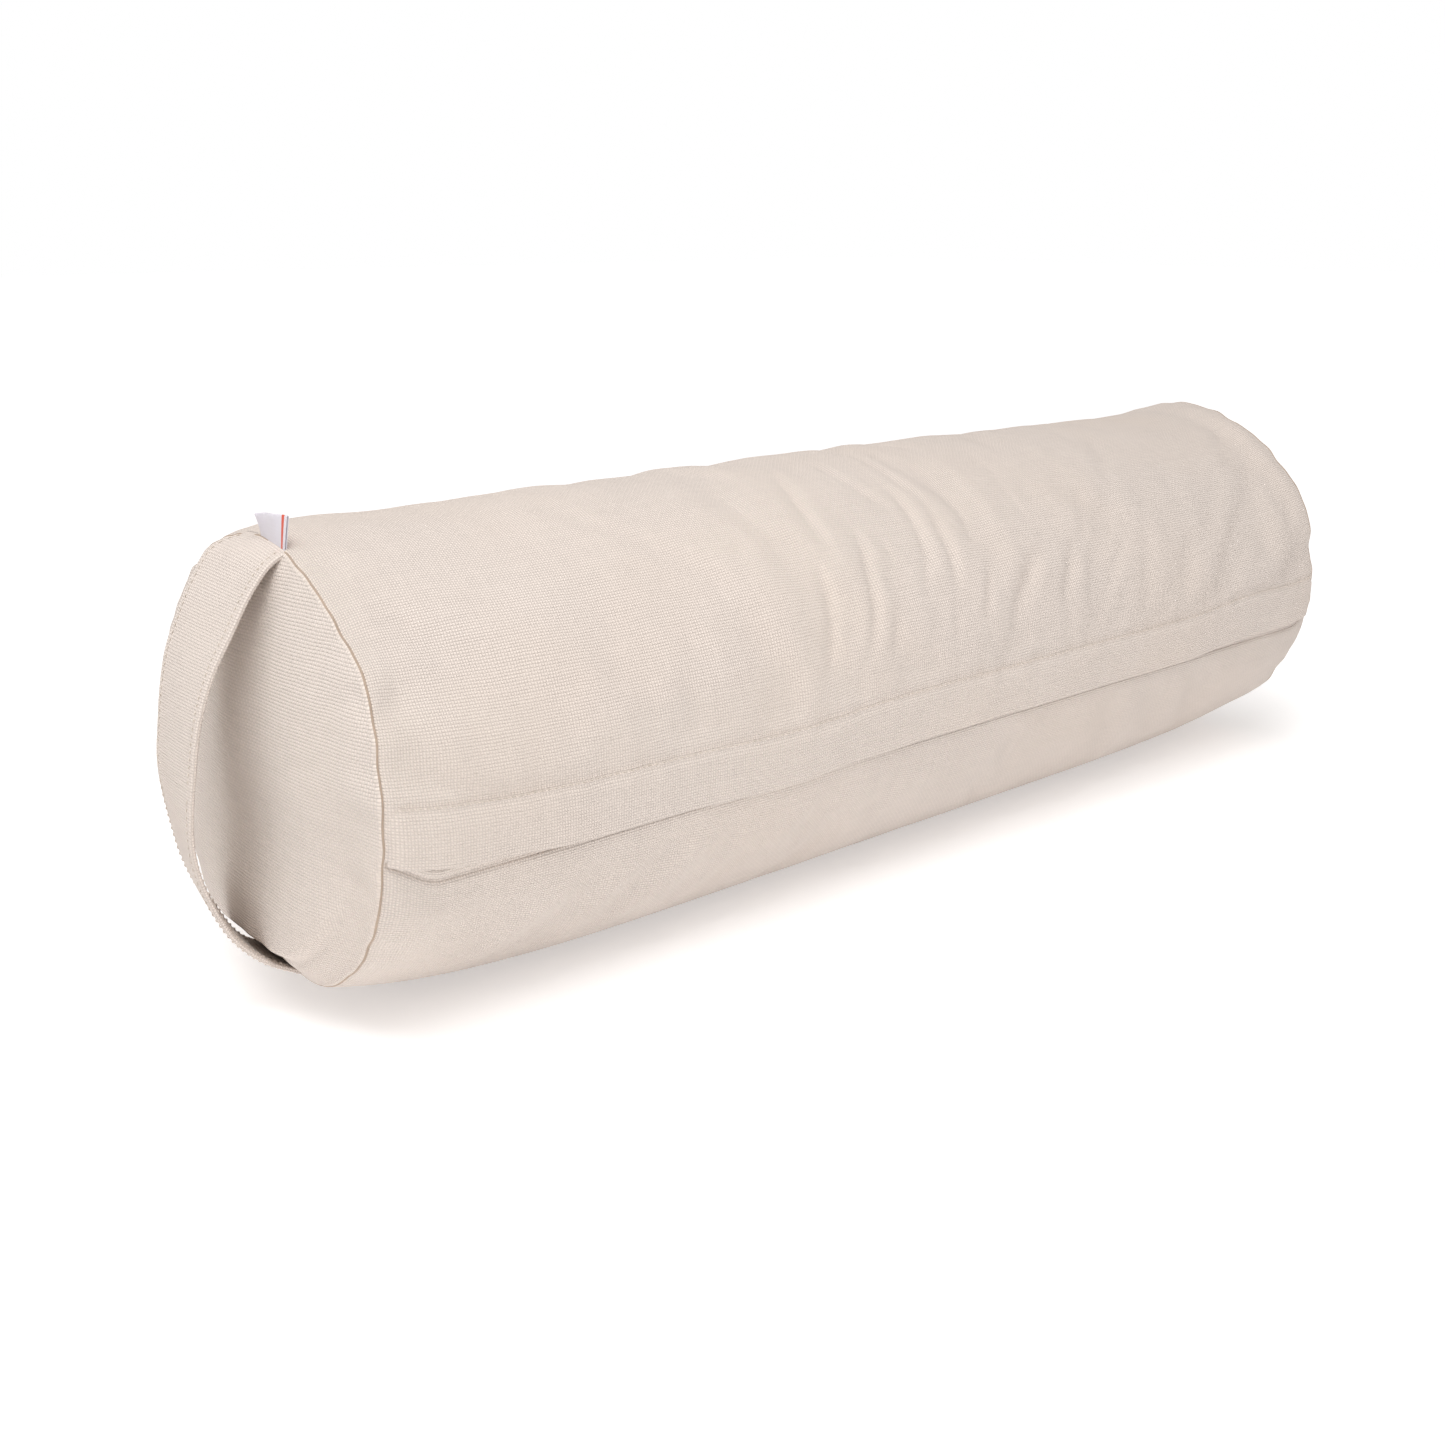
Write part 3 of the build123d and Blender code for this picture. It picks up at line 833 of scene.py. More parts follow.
def disc_piece(name, toward, node):
    """A domed end disc whose rim rolls into the seam, laid out in rings and spokes about its middle."""
    s = sizes()
    r = s.seam_radius / 2
    spokes = 390
    g = np.arange(spokes) * girth() / spokes
    clear, tail = 0.0001, 0.0016
    apart = (s.seam_radius + r) / 2**0.5 + clear
    rim_x = HALF_LENGTH - s.seam_radius + apart
    rim_depth = -s.seam_radius - apart
    ring = cover_point(toward * HALF_LENGTH, g, rim_depth + cover_relief(toward * HALF_LENGTH + 0 * g, g))
    _, _, ny, nz = section(g)
    lean = ring[:, 0] - toward * HALF_LENGTH
    low, high = ring[:, 2].min(), ring[:, 2].max()
    middle = np.array([0.0, (low + high) / 2])
    by_fold, by_rim = np.linspace(0.80, 0.90, 8), np.linspace(0.915, 1.0, 9)
    share = np.concatenate([np.linspace(0.04, 0.78, 24), by_fold, by_rim])
    spoke = ring[:, 1:] - middle
    flat = middle + spoke[None] * share[:, None, None]
    reach = np.linalg.norm(spoke, axis=1)
    from_rim = (1 - share)[:, None] * reach[None]
    dome = s.dome * (1 - share**2.7)[:, None]
    relief = disc_relief(toward, flat[..., 0], flat[..., 1], from_rim, g[None] + 0 * from_rim)
    x = rim_x + r + dome + relief
    inner = np.concatenate([(toward * x)[..., None], flat], -1)
    inner[..., 0] += lean[None] * share[:, None] ** 2
    angle = np.radians([22, 45, 68, 90, 112, 135])
    roll_x, roll_off = rim_x + r * np.cos(angle), r * np.sin(angle)
    roll_x, roll_off = np.append(roll_x, roll_x[-1] - tail), np.append(roll_off, roll_off[-1] - tail)
    puck = disc_relief(toward, ring[:, 1], ring[:, 2], 0 * g, g)
    roll = np.stack(
        [
            toward * (roll_x[:, None] + puck[None]) + lean[None],
            ring[:, 1][None] + ny[None] * roll_off[:, None],
            ring[:, 2][None] + nz[None] * roll_off[:, None],
        ],
        -1,
    )
    points = np.concatenate([inner, roll])
    rows = len(points)
    faces, _ = grid_faces(rows, spokes, wrap_cols=True)
    pole = rows * spokes
    centre = np.array([[toward * (rim_x + r + s.dome + float(relief[0].mean())), *middle]])
    after = (np.arange(spokes) + 1) % spokes
    fan = np.stack([np.full(spokes, pole), after, np.arange(spokes)], -1)
    if toward > 0:
        faces, fan = faces[:, ::-1], fan[:, ::-1]
    flat_points = np.concatenate([points.reshape(-1, 3), centre])
    plane = flat_points[:, 1:]
    corner_uv = [plane[faces], plane[fan]]
    piece = mesh_piece(name, flat_points, [faces, fan], corner_uv, finishes()["canvas"])
    thicken(piece, s.canvas_thickness, -1)
    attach(piece, "root")
    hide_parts(node)
    return piece


def disc_relief(toward, y, z, from_rim, g):
    """Outward height over a disc's plain dome: rim puckers, slow waves and, on the strap end, a pressed fold.

    The fold follows the lower rim: the height rises evenly from the rim to the fold and falls slowly past it.
    """
    pucker = 0.0006 * ripple(g, 0.026, 31, whole=girth())
    pucker = pucker * np.exp(-from_rim / 0.012) * step(0, 0.006, from_rim)
    slow = 0.0006 * ripple(y + 0.3 * z, 0.090, 37) * ripple(z - 0.3 * y, 0.110, 41) * step(0, 0.02, from_rim)
    total = pucker + slow
    if toward < 0:
        front = hill(y, -0.004, 0.066, 4) * (1 - step(0.050, 0.100, z))
        width = 0.017
        rising = np.clip(from_rim / width, 0, 1)
        falling = hill(np.maximum(from_rim - width, 0), 0, 0.040, 1.3)
        total = total + 0.0098 * rising**1.25 * falling * front
        total = total - 0.0014 * hill(from_rim, 0.0125, 0.0024) * front
        for height, lean, size in ((0.120, 0.25, 0.0004), (0.084, 0.30, 0.0004)):
            away = z - height - lean * (y + 0.100)
            near = step(0.045, 0.100, -y)
            total = total + size * near * (hill(away, 0, 0.008) - 0.8 * hill(away, -0.013, 0.010))
    return total


class BOLSTER_OT_end_discs(bpy.types.Operator):
    """The two domed end discs"""

    bl_idname = "bolster.end_discs"
    bl_label = "End discs"

    def execute(self, context):
        disc_piece("strap_end_disc", -1, "handle_end_disc")
        disc_piece("far_end_disc_cloth", 1, "far_end_disc")
        return {"FINISHED"}


def flap_path():
    """The doubled flap's middle line: distance from the stitch line and height off the wall.

    It leaves the stitch line, swells, runs down to the fold, turns on a half circle and comes back up.
    """
    fold, seam_off, high = 0.00042, -0.00050, 0.00145
    last = sizes().flap_drop - 0.0006
    near, rest = np.geomspace(0.0006, 0.0050, 7), np.linspace(0.0072, last, 9)
    down = -np.concatenate([[-0.0006, 0.0], near, rest])
    out = seam_off + (high - seam_off) * step(-0.0012, 0.0054, -down)
    turn = np.radians(np.linspace(0, 180, 7))[1:-1]
    fold_g = -last - fold * np.sin(turn)
    fold_off = high - fold + fold * np.cos(turn)
    back = down[::-1][:-3]
    inside = np.full(len(back), high - 2 * fold)
    return np.concatenate([down, fold_g, back]), np.concatenate([out, fold_off, inside])


class BOLSTER_OT_end_seams(bpy.types.Operator):
    """A thread sunk between panel and disc at each end, coloured dark as painted shade in the seam groove"""

    bl_idname = "bolster.end_seams"
    bl_label = "End seams"

    def execute(self, context):
        count, sides, radius = 780, 6, 0.00050
        g = np.arange(count) * girth() / count
        ring = radius * circle(facing(g)[:, None], np.array([1.0, 0, 0]), sides)
        uv = uv_grid(np.linspace(0, 2 * math.pi, sides + 1), np.append(g, girth()))
        # Painted shade: the dark thread stands for the shade in the seam groove.
        thread = finishes()["seam shade thread"]
        for name, toward in (("strap_end_seam", -1), ("far_end_seam", 1)):
            sunk = cover_relief(toward * HALF_LENGTH + 0 * g, g) - 0.00060
            line = cover_point(toward * (HALF_LENGTH + 0.0005), g, sunk)
            points = line[:, None] + ring
            piece = grid_piece(name, points, uv, thread, wrap_rows=True, wrap_cols=True, flip=True)
            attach(piece, "root")
        return {"FINISHED"}


class BOLSTER_OT_zip_flap(bpy.types.Operator):
    """The flap over the zip, one folded strip of canvas in two lengths that meet in the middle"""

    bl_idname = "bolster.zip_flap"
    bl_label = "Zip flap"

    def execute(self, context):
        path_g, path_off = flap_path()
        walk = walked(path_g, path_off)
        end = HALF_LENGTH - 0.0012
        for name, side, gathered_to in (("flap_strap_side", -1, 0.276), ("flap_far_side", 1, 0.250)):
            x = side * np.concatenate([np.linspace(0, 0.300, 100), np.linspace(0.3025, end, 11)])
            if side < 0:
                x = x[::-1]
            gx, gg = np.meshgrid(x, path_g)
            off = path_off[:, None] + 0 * gx
            wave = 0.0005 * ripple(gx, 0.070, 51) * step(0.004, 0.020, -gg)
            bulge = 0.0006 * hill(gx, 0.288, 0.016) + 0.0013 * hill(gx, -0.290, 0.026)
            over_slider = bulge * step(0.003, 0.011, -gg)
            into_seam = -0.0022 * step(0.3185, end, np.abs(gx))
            sewn = cover_relief(gx, 0 * gg) * (1 - step(0.0, 0.012, -gg))
            points = cover_point(gx, gg, off + wave + over_slider + into_seam + sewn)
            uv = uv_grid(x, -walk)
            piece = grid_piece(name, points, uv, finishes()["canvas"], flip=True)
            thicken(piece, FLAP_THICK, 0)
            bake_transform(piece)
            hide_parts("zip_flap")
        return {"FINISHED"}


class BOLSTER_OT_topstitching(bpy.types.Operator):
    """The row of topstitches that holds the flap and the zip tape"""

    bl_idname = "bolster.topstitching"
    bl_label = "Topstitching"

    def execute(self, context):
        pitch = sizes().stitch_pitch
        reach = HALF_LENGTH - 0.006
        at = np.arange(-reach, reach, pitch)
        wave = 0.00012 * ripple(at, 0.011, 61)
        ends = at + 0.70 * pitch
        start = cover_point(at, -0.0006 + wave, 0.00005 + cover_relief(at, 0 * at))
        stop = cover_point(ends, -0.0006 - wave, 0.00005 + cover_relief(ends, 0 * at))
        out = facing(0 * at)
        piece = stitches("topstitching", start, stop, out, TOP_THREAD, finishes()["thread"])
        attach(piece, "root")
        return {"FINISHED"}


# ---------------------------------------------------------------- the zip


def wall_point(x, from_chain, depth):
    """Place in the straight front wall: x along the chain, this far above its middle and this deep."""
    large, centre, _, _, _, start = section_numbers()
    turn = start + (np.asarray(from_chain, float) - sizes().chain_drop) / large
    radius = large - depth
    x, turn, radius = np.broadcast_arrays(np.asarray(x, float), turn, radius)
    return np.stack([x, -radius * np.cos(turn), centre + radius * np.sin(turn)], -1)


class BOLSTER_OT_zip_tapes(bpy.types.Operator):
    """The two woven tapes that carry the coil"""

    bl_idname = "bolster.zip_tapes"
    bl_label = "Zip tapes"

    def execute(self, context):
        depth = sizes().chain_depth
        reach = TAPE_HIGH.x
        x = np.linspace(-reach, reach, 150)
        for name, low, high, node in (
            ("tape_upper", 0.0022, 0.0260, "zip_tape_upper"),
            ("tape_lower", -0.0140, -0.0022, "zip_tape_lower"),
        ):
            across = np.linspace(low, high, 13)
            gx, gc = np.meshgrid(x, across)
            wave = 0.00012 * ripple(gx, 0.030, 71) * step(0.003, 0.010, np.abs(gc))
            points = wall_point(gx, gc, depth - wave)
            piece = grid_piece(name, points, uv_grid(x, across), finishes()["tape"])
            thicken(piece, TAPE_THICK, 0)
            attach(piece, "root")
            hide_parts(node)
        return {"FINISHED"}


class BOLSTER_OT_zip_coils(bpy.types.Operator):
    """The two rows of the nylon coil, each one long flattened spiral"""

    bl_idname = "bolster.zip_coils"
    bl_label = "Zip coils"

    def execute(self, context):
        s = sizes()
        wire, sides, per_turn = 0.00031, 5, 9
        from_middle, half_wide, half_thick = 0.00150, 0.00112, 0.00076
        turns = int((COIL_HIGH.x - COIL_LOW.x - 0.002) / s.coil_pitch)
        t = np.arange(turns * per_turn + 1) / per_turn
        for name, side, node in (("coil_upper", 1, "zip_coil_upper"), ("coil_lower", -1, "zip_coil_lower")):
            phase = 2 * math.pi * (t + (0.5 if side < 0 else 0))
            x = COIL_LOW.x + 0.001 + t * s.coil_pitch
            across = side * (from_middle + half_wide * np.cos(phase))
            depth = s.chain_depth - half_thick * np.sin(phase)
            path = wall_point(x, across, depth)
            first, second = across_path(path, np.array([1.0, 0, 0]))
            ring = circle(first[:, None], second[:, None], sides)
            points = (path[:, None] + wire * ring).reshape(-1, 3)
            faces, caps = tube_faces(len(path), sides)
            flat = points[:, :2]
            corner_uv = [flat[faces], flat[caps]]
            faces, caps = faces[:, ::-1], caps[:, ::-1]
            piece = mesh_piece(name, points, [faces, caps], corner_uv, finishes()["coil"])
            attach(piece, "root")
            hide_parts(node)
        return {"FINISHED"}


class BOLSTER_OT_zip_facings(bpy.types.Operator):
    """The turned edges of the canvas on both sides of the zip"""

    bl_idname = "bolster.zip_facings"
    bl_label = "Turned edges"

    def execute(self, context):
        s = sizes()
        radius, sunk = 0.00058, -0.0017
        x = np.linspace(-TURNED_HALF, TURNED_HALF, 170)
        turn = np.radians(np.linspace(-90, 90, 7))
        under = np.linspace(-0.0090, -0.0006, 6)
        along = np.concatenate([under, radius * np.cos(turn)])
        off = np.concatenate([np.full(len(under), sunk), sunk + radius + radius * np.sin(turn)])
        walk = walked(along, off)
        for name, edge, side in (("turned_edge_lower", -s.edge_drop, 1), ("turned_edge_upper", 0.0006, -1)):
            gx, ga = np.meshgrid(x, edge + side * along)
            points = cover_point(gx, ga, off[:, None] - (0.0012 if side < 0 else 0.0), zip_edge=True)
            piece = grid_piece(name, points, uv_grid(x, walk), finishes()["canvas"], flip=side > 0)
            thicken(piece, s.canvas_thickness, 0)
            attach(piece, "root")
        return {"FINISHED"}


class BOLSTER_OT_zip_metal(bpy.types.Operator):
    """Plated finish on the slider, pull tab and stops"""

    bl_idname = "bolster.zip_metal"
    bl_label = "Zip metal"

    def execute(self, context):
        for node in ("zip_slider", "zip_pull_tab", "zip_top_stops", "zip_bottom_stop"):
            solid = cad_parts[node]
            for slot in solid.material_slots:
                slot.material = finishes()["metal"]
            if not solid.material_slots:
                raise RuntimeError(f"{node} has no material slot")
        return {"FINISHED"}


# ---------------------------------------------------------------- the strap and label


# The strap's bow seen from the side: x from the strap end's seam and height, in millimetres.
STRAP_LINE = (
    (9, 202), (0, 196), (-9, 184), (-18, 170), (-28, 154), (-36, 132),
    (-40, 104), (-38, 74), (-29, 48), (-16, 28), (0, 17),
)


def smooth_line(points, count):
    """A curve through the points: each stretch is the cubic set by its two ends and their neighbours."""
    points = np.asarray(points, float)
    before = 2 * points[0] - points[1]
    after = 2 * points[-1] - points[-2]
    p = np.vstack([before, points, after])
    t = np.linspace(0, len(points) - 1, count)
    k = np.minimum(t.astype(int), len(points) - 2)
    f = (t - k)[:, None]
    a, b, c, d = p[k], p[k + 1], p[k + 2], p[k + 3]
    return 0.5 * (2 * b + (c - a) * f + (2 * a - 5 * b + 4 * c - d) * f**2 + (3 * b - a - 3 * c + d) * f**3)


def strap_frame(count):
    """The strap's line evenly spaced, its outward direction, and the distance along it."""
    line = smooth_line(STRAP_LINE, 400) * 1e-3
    line[:, 0] -= HALF_LENGTH
    walk = walked(line[:, 0], line[:, 1])
    middle = walk[-1] / 2
    beside = np.array([-0.0006, -0.0003, 0, 0.0003, 0.0006])
    half = np.linspace(0, middle - 0.0012, (count - len(beside)) // 2)
    at = np.concatenate([half, middle + beside, walk[-1] - half[::-1]])
    x, z = np.interp(at, walk, line[:, 0]), np.interp(at, walk, line[:, 1])
    dx, dz = np.gradient(x, at), np.gradient(z, at)
    long = np.hypot(dx, dz)
    return x, z, dz / long, -dx / long, at


def strap_surface(x, z, nx, nz, at, across, out):
    """Places on the strap: across its width and out from its line; its sewn top follows the round seam."""
    half = sizes().strap_width / 2
    y = (STRAP_LOW.y + STRAP_HIGH.y) / 2 + across
    near_top = 1 - step(0, 0.030, at)
    bend = -(y**2) / (2 * SEAM_ROUND) * near_top
    cup = -0.0006 * (across / half) ** 2 * step(0.02, 0.06, at)
    far_side = np.clip(0.5 + across / (2 * half), 0, 1)
    twist = 0.0075 * step(0.0, 0.018, at) * (1 - step(0.030, 0.095, at))
    lower_twist = 0.0036 * step(0.095, 0.140, at) * (1 - step(0.170, 0.205, at))
    off = out + cup + twist * far_side - lower_twist * across / half
    return np.stack([x + nx * off, y + 0 * x, z + nz * off + bend], -1)


class BOLSTER_OT_carry_strap(bpy.types.Operator):
    """The carry strap, a flat doubled band in two lengths that meet at mid height, and its edge stitching"""

    bl_idname = "bolster.carry_strap"
    bl_label = "Carry strap"

    def execute(self, context):
        s = sizes()
        x, z, nx, nz, at = strap_frame(121)
        half_width, half_thick = s.strap_width / 2, s.strap_thickness / 2
        columns = 15
        flat = np.linspace(-half_width + half_thick, half_width - half_thick, columns)
        turn = np.radians(np.linspace(-90, 90, 6))[1:-1]
        side_y = half_width - half_thick + half_thick * np.cos(turn)
        side_out = half_thick * np.sin(turn)
        across = np.concatenate([flat, side_y, flat[::-1], -side_y])
        face_out = np.full(columns, half_thick)
        out = np.concatenate([-face_out, side_out, face_out, -side_out])
        walk = walked(across, out)
        around = np.append(walk, walk[-1] + np.hypot(across[0] - across[-1], out[0] - out[-1]))
        middle = len(x) // 2
        for name, part, held, free, nodes in (
            ("strap_upper", slice(0, middle + 1), 0.200, 0.172, ("handle_strap", "handle_sewn_end_top")),
            ("strap_lower", slice(middle, len(x)), 0.012, 0.034, ("handle_strap", "handle_sewn_end_bottom")),
        ):
            cut = [v[part][:, None] for v in (x, z, nx, nz, at)]
            body = strap_surface(*cut, across[None], out[None])
            sides = len(across)
            faces, (ci, cj) = grid_faces(len(body), sides, wrap_cols=True)
            uv = np.stack(np.meshgrid(around, at[part]), -1)
            n = sides // 2
            pairs = np.arange(n - 1)
            cap = np.stack([pairs, pairs + 1, sides - 2 - pairs, sides - 1 - pairs], -1)
            far = cap[:, ::-1] + (len(body) - 1) * sides
            flat_points = body.reshape(-1, 3)
            caps = np.concatenate([cap, far])
            plane = flat_points[:, [1, 2]]
            piece = mesh_piece(
                name,
                flat_points,
                [faces, caps],
                [uv[ci, cj], plane[caps]],
                finishes()["strap"],
                flat_last=True,
            )
            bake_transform(piece)
            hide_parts(*nodes)
            pitch, thread_run, from_edge = 0.0031, 0.0022, 0.0032
            first = np.arange(at[part][0] + 0.004, at[part][-1] - 0.002, pitch)
            starts, ends, lifts = [], [], []
            for side, face in ((-1, -1), (-1, 1), (1, -1), (1, 1)):
                for places, shift in ((starts, 0.0), (ends, thread_run)):
                    values = [np.interp(first + shift, at, v) for v in (x, z, nx, nz)]
                    across_at, out_at = side * (half_width - from_edge), face * half_thick
                    places.append(strap_surface(*values, first + shift, across_at, out_at))
                lifts.append(face * np.stack([values[2], 0 * first, values[3]], -1))
            seam = stitches(
                name + "_stitches",
                np.concatenate(starts),
                np.concatenate(ends),
                np.concatenate(lifts),
                STRAP_THREAD,
                finishes()["thread"],
            )
            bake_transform(seam)
        return {"FINISHED"}


class BOLSTER_OT_side_label(bpy.types.Operator):
    """The blank folded label that stands out of the seam above the strap, with a plain stripe"""

    bl_idname = "bolster.side_label"
    bl_label = "Side label"

    def execute(self, context):
        wide = LABEL_HIGH.y - LABEL_LOW.y
        tall, sewn_in, half_gap = 0.0148, 0.004, 0.0004
        across = np.linspace(0, wide, 19)
        up = np.linspace(-sewn_in, tall, 13)
        turn = np.radians(np.linspace(0, 180, 6))[1:-1]
        rise = np.concatenate([up, tall + half_gap * np.sin(turn), up[::-1]])
        apart = np.concatenate([half_gap + 0 * up, half_gap * np.cos(turn), -half_gap + 0 * up])
        gu, gr = np.meshgrid(across, rise)
        y = LABEL_HIGH.y - gu
        seat = seat_of_label(y)
        share = np.clip(gr / tall, 0, 1)
        curl = 0.0010 * share**1.5 * np.sin(2.2 * math.pi * gu / wide + 0.6)
        lean = 0.0010 * share - 0.0040 * share**1.5 * (1 - gu / wide) ** 2
        short = 0.74 + 0.26 * gu / wide
        x = seat[..., 0] + curl + lean - apart[:, None]
        points = np.stack([x, y - 0.0008 * share, seat[..., 1] + gr * short], -1)
        walk = walked(rise, apart)
        uv, satin = uv_grid(across, walk), finishes()["label"]
        piece = grid_piece("seam_label", points, uv, satin, flip=True)
        thicken(piece, LABEL_THICK, 0)
        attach(piece, "root")
        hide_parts("side_label")
        return {"FINISHED"}


def seat_of_label(y):
    """x and height of the strap end's seam over a given y near the crown, read off the ring itself."""
    g = np.linspace(0.10, 0.24, 400)
    ring = cover_point(-HALF_LENGTH, g, -0.0012)
    order = np.argsort(ring[:, 1])
    sx = np.interp(y, ring[order, 1], ring[order, 0])
    sz = np.interp(y, ring[order, 1], ring[order, 2])
    return np.stack([sx, sz], -1)


# ---------------------------------------------------------------- inside the cover


def bag_piece(name, inset, reach, lumps, bulge, material):
    """A bag that follows the cover from inside, with a channel pressed in beside the zip."""
    x, g, gx, gg = wrapped_grid(reach, 120, 150)
    above = from_stitch(gg)
    pressed = step(-0.040, -0.028, above) * (1 - step(0.006, 0.016, above))
    pressed = pressed * (1 - step(0.300, 0.318, np.abs(gx)))
    off = -inset - 0.0020 * pressed + lumps * ripple(gx + 0.3 * gg, 0.060, 81) * ripple(gg, 0.070, 83)
    piece = bag_mesh(name, cover_point(gx, gg, off), x, g, bulge, material)
    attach(piece, "root")
    return piece


def bag_mesh(name, wall, x, g, bulge, material):
    """A closed bag from its side wall: each end is closed by rings about its middle that bulge outwards."""
    rows, cols = wall.shape[:2]
    faces, (ci, cj) = grid_faces(rows, cols, wrap_rows=True)
    uv = uv_grid(x, np.append(g, girth()))
    points, all_faces, all_uv = [wall.reshape(-1, 3)], [faces], [uv[ci, cj]]
    count, rings = rows * cols, 16
    after = (np.arange(rows) + 1) % rows
    for toward, column in ((-1, 0), (1, cols - 1)):
        ring = wall[:, column]
        middle = ring.mean(0)
        share = np.linspace(0.95, 0.05, rings)
        cap = middle + (ring - middle)[None] * share[:, None, None]
        cap[..., 0] += toward * bulge * (1 - share[:, None] ** 2.5)
        new = count + np.arange(rings * rows).reshape(rings, rows)
        index = np.vstack([(np.arange(rows) * cols + column)[None], new])
        outer, inner = index[:-1], index[1:]
        quads = np.stack([outer, outer[:, after], inner[:, after], inner], -1).reshape(-1, 4)
        pole = count + rings * rows
        fan = np.stack([index[-1], index[-1][after], np.full(rows, pole)], -1)
        if toward < 0:
            quads, fan = quads[:, ::-1], fan[:, ::-1]
        tip = middle + np.array([toward * bulge, 0, 0])
        points += [cap.reshape(-1, 3), tip[None]]
        count = pole + 1
        everything = np.concatenate(points)[:, 1:]
        all_faces += [quads, fan]
        all_uv += [everything[quads], everything[fan]]
    return mesh_piece(name, np.concatenate(points), all_faces, all_uv, material)


class BOLSTER_OT_inner_bag(bpy.types.Operator):
    """The liner bag and the filling inside it"""

    bl_idname = "bolster.inner_bag"
    bl_label = "Liner and filling"

    def execute(self, context):
        cotton, fibre = finishes()["liner"], finishes()["filling"]
        liner = bag_piece("liner_bag", 0.0072, 0.3165, 0.0, 0.0060, cotton)
        thicken(liner, LINER_THICK, -1)
        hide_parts("liner_tube", "liner_handle_end_disc", "liner_far_end_disc")
        core = bag_piece("filling_core", 0.0092, 0.3145, 0.0005, 0.0050, fibre)
        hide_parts("filling")
        return {"FINISHED"}


# ---------------------------------------------------------------- stage


# Each light: its name, kind, power, colour, place, what it points at, and a sun's angle or a panel's side.
LAMPS = (
    ("overhead light", "SUN", 1.08, (0.995, 0.995, 1.0), (0, 0, 0), (0.34, -0.06, -1.0), 40),
    ("side light", "AREA", 3.8, (1.0, 0.955, 0.92), (-0.75, -1.00, 1.50), (-0.2, 0, 0.1), 0.9),
    ("near top light", "AREA", 3.8, (0.975, 0.99, 1.0), (-0.42, -0.42, 1.00), (-0.22, 0, 0.15), 0.5),
)


def aimed(name, data, place, target):
    """A light or camera at a place, pointing at a target."""
    holder = bpy.data.objects.new(name, data)
    holder.location = place
    holder.rotation_euler = (Vector(target) - Vector(place)).to_track_quat("-Z", "Y").to_euler()
    bpy.context.scene.collection.objects.link(holder)
    return holder


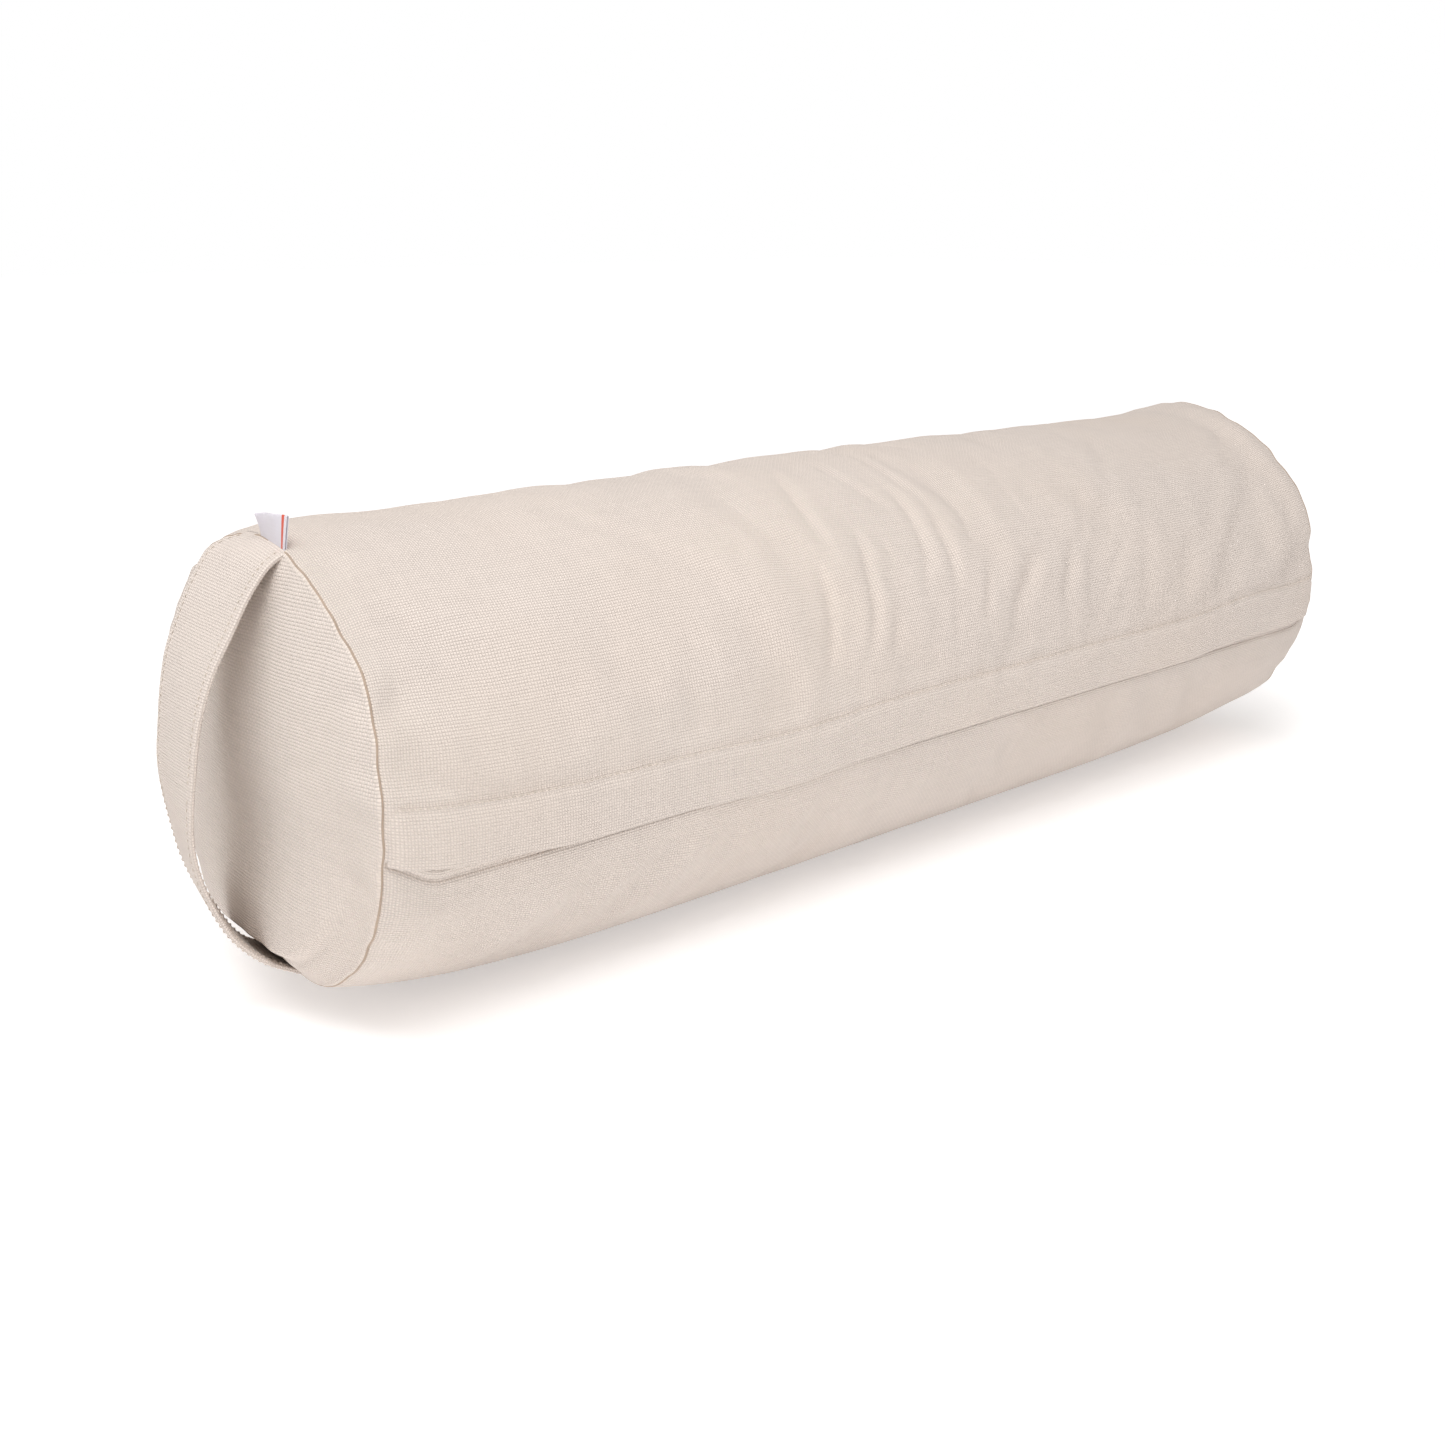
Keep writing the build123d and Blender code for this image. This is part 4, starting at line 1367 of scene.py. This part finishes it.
class BOLSTER_OT_stage(bpy.types.Operator):
    """A plain pale floor, soft light and the camera"""

    bl_idname = "bolster.stage"
    bl_label = "Stage"

    def execute(self, context):
        scene = context.scene
        side, below_cloth = 9.0, 0.0002
        grid = np.linspace(-side, side, 3)
        gx, gy = np.meshgrid(grid, grid)
        points = np.stack([gx, gy, 0 * gx - below_cloth], -1)
        floor = grid_piece("floor", points, uv_grid(grid, grid), finishes()["floor"])

        world = bpy.data.worlds.new("white surround")
        world.use_nodes = True
        tree = world.node_tree
        sky, backdrop = tree.nodes["Background"], tree.nodes.new("ShaderNodeBackground")
        for shader, colour, strength in (
            (sky, (1.0, 0.962, 0.930, 1), 0.49),
            (backdrop, (1.0, 1.0, 1.0, 1), 1.0),
        ):
            shader.inputs["Color"].default_value = colour
            shader.inputs["Strength"].default_value = strength
        ray = tree.nodes.new("ShaderNodeLightPath")
        choose = tree.nodes.new("ShaderNodeMixShader")
        tree.links.new(ray.outputs["Is Camera Ray"], choose.inputs[0])
        tree.links.new(sky.outputs[0], choose.inputs[1])
        tree.links.new(backdrop.outputs[0], choose.inputs[2])
        tree.links.new(choose.outputs[0], tree.nodes["World Output"].inputs["Surface"])
        scene.world = world

        for name, kind, energy, colour, place, target, size in LAMPS:
            lamp = bpy.data.lights.new(name, kind)
            lamp.energy = energy
            lamp.color = colour
            if kind == "SUN":
                lamp.angle = math.radians(size)
            else:
                lamp.size = size
            aimed(name, lamp, place, target)

        view = bpy.data.cameras.new("camera")
        view.lens = CAMERA_LENS
        view.sensor_width = CAMERA_SENSOR
        view.clip_end = 50.0
        scene.camera = aimed("camera", view, CAMERA_PLACE, CAMERA_AIM)
        scene.view_settings.view_transform = "Standard"
        return {"FINISHED"}


# ---------------------------------------------------------------- add-on


PIECE_OPERATORS = (
    BOLSTER_OT_settle_cloth,
    BOLSTER_OT_cover_panel,
    BOLSTER_OT_end_discs,
    BOLSTER_OT_end_seams,
    BOLSTER_OT_zip_flap,
    BOLSTER_OT_topstitching,
    BOLSTER_OT_zip_tapes,
    BOLSTER_OT_zip_coils,
    BOLSTER_OT_zip_facings,
    BOLSTER_OT_zip_metal,
    BOLSTER_OT_carry_strap,
    BOLSTER_OT_side_label,
    BOLSTER_OT_inner_bag,
    BOLSTER_OT_stage,
)


class BOLSTER_PT_panel(bpy.types.Panel):
    """Lists the bolster's pieces and their sizes"""

    bl_label = "Bolster pillow"
    bl_idname = "BOLSTER_PT_panel"
    bl_space_type = "VIEW_3D"
    bl_region_type = "UI"
    bl_category = "Bolster"

    def draw(self, context):
        layout = self.layout
        for operator in PIECE_OPERATORS:
            layout.operator(operator.bl_idname)
        for group in (context.scene.bolster_sizes, context.scene.bolster_colours):
            box = layout.box()
            for key in group.__annotations__:
                box.prop(group, key)


CLASSES = (BolsterSizes, BolsterColours, *PIECE_OPERATORS, BOLSTER_PT_panel)


def register():
    for item in CLASSES:
        bpy.utils.register_class(item)
    bpy.types.Scene.bolster_sizes = bpy.props.PointerProperty(type=BolsterSizes)
    bpy.types.Scene.bolster_colours = bpy.props.PointerProperty(type=BolsterColours)


def unregister():
    del bpy.types.Scene.bolster_colours
    del bpy.types.Scene.bolster_sizes
    for item in reversed(CLASSES):
        bpy.utils.unregister_class(item)


def main():
    """Builds every piece and the stage."""
    register()
    for operator in PIECE_OPERATORS:
        group, name = operator.bl_idname.split(".")
        getattr(getattr(bpy.ops, group), name)()


if __name__ == "__main__":
    main()
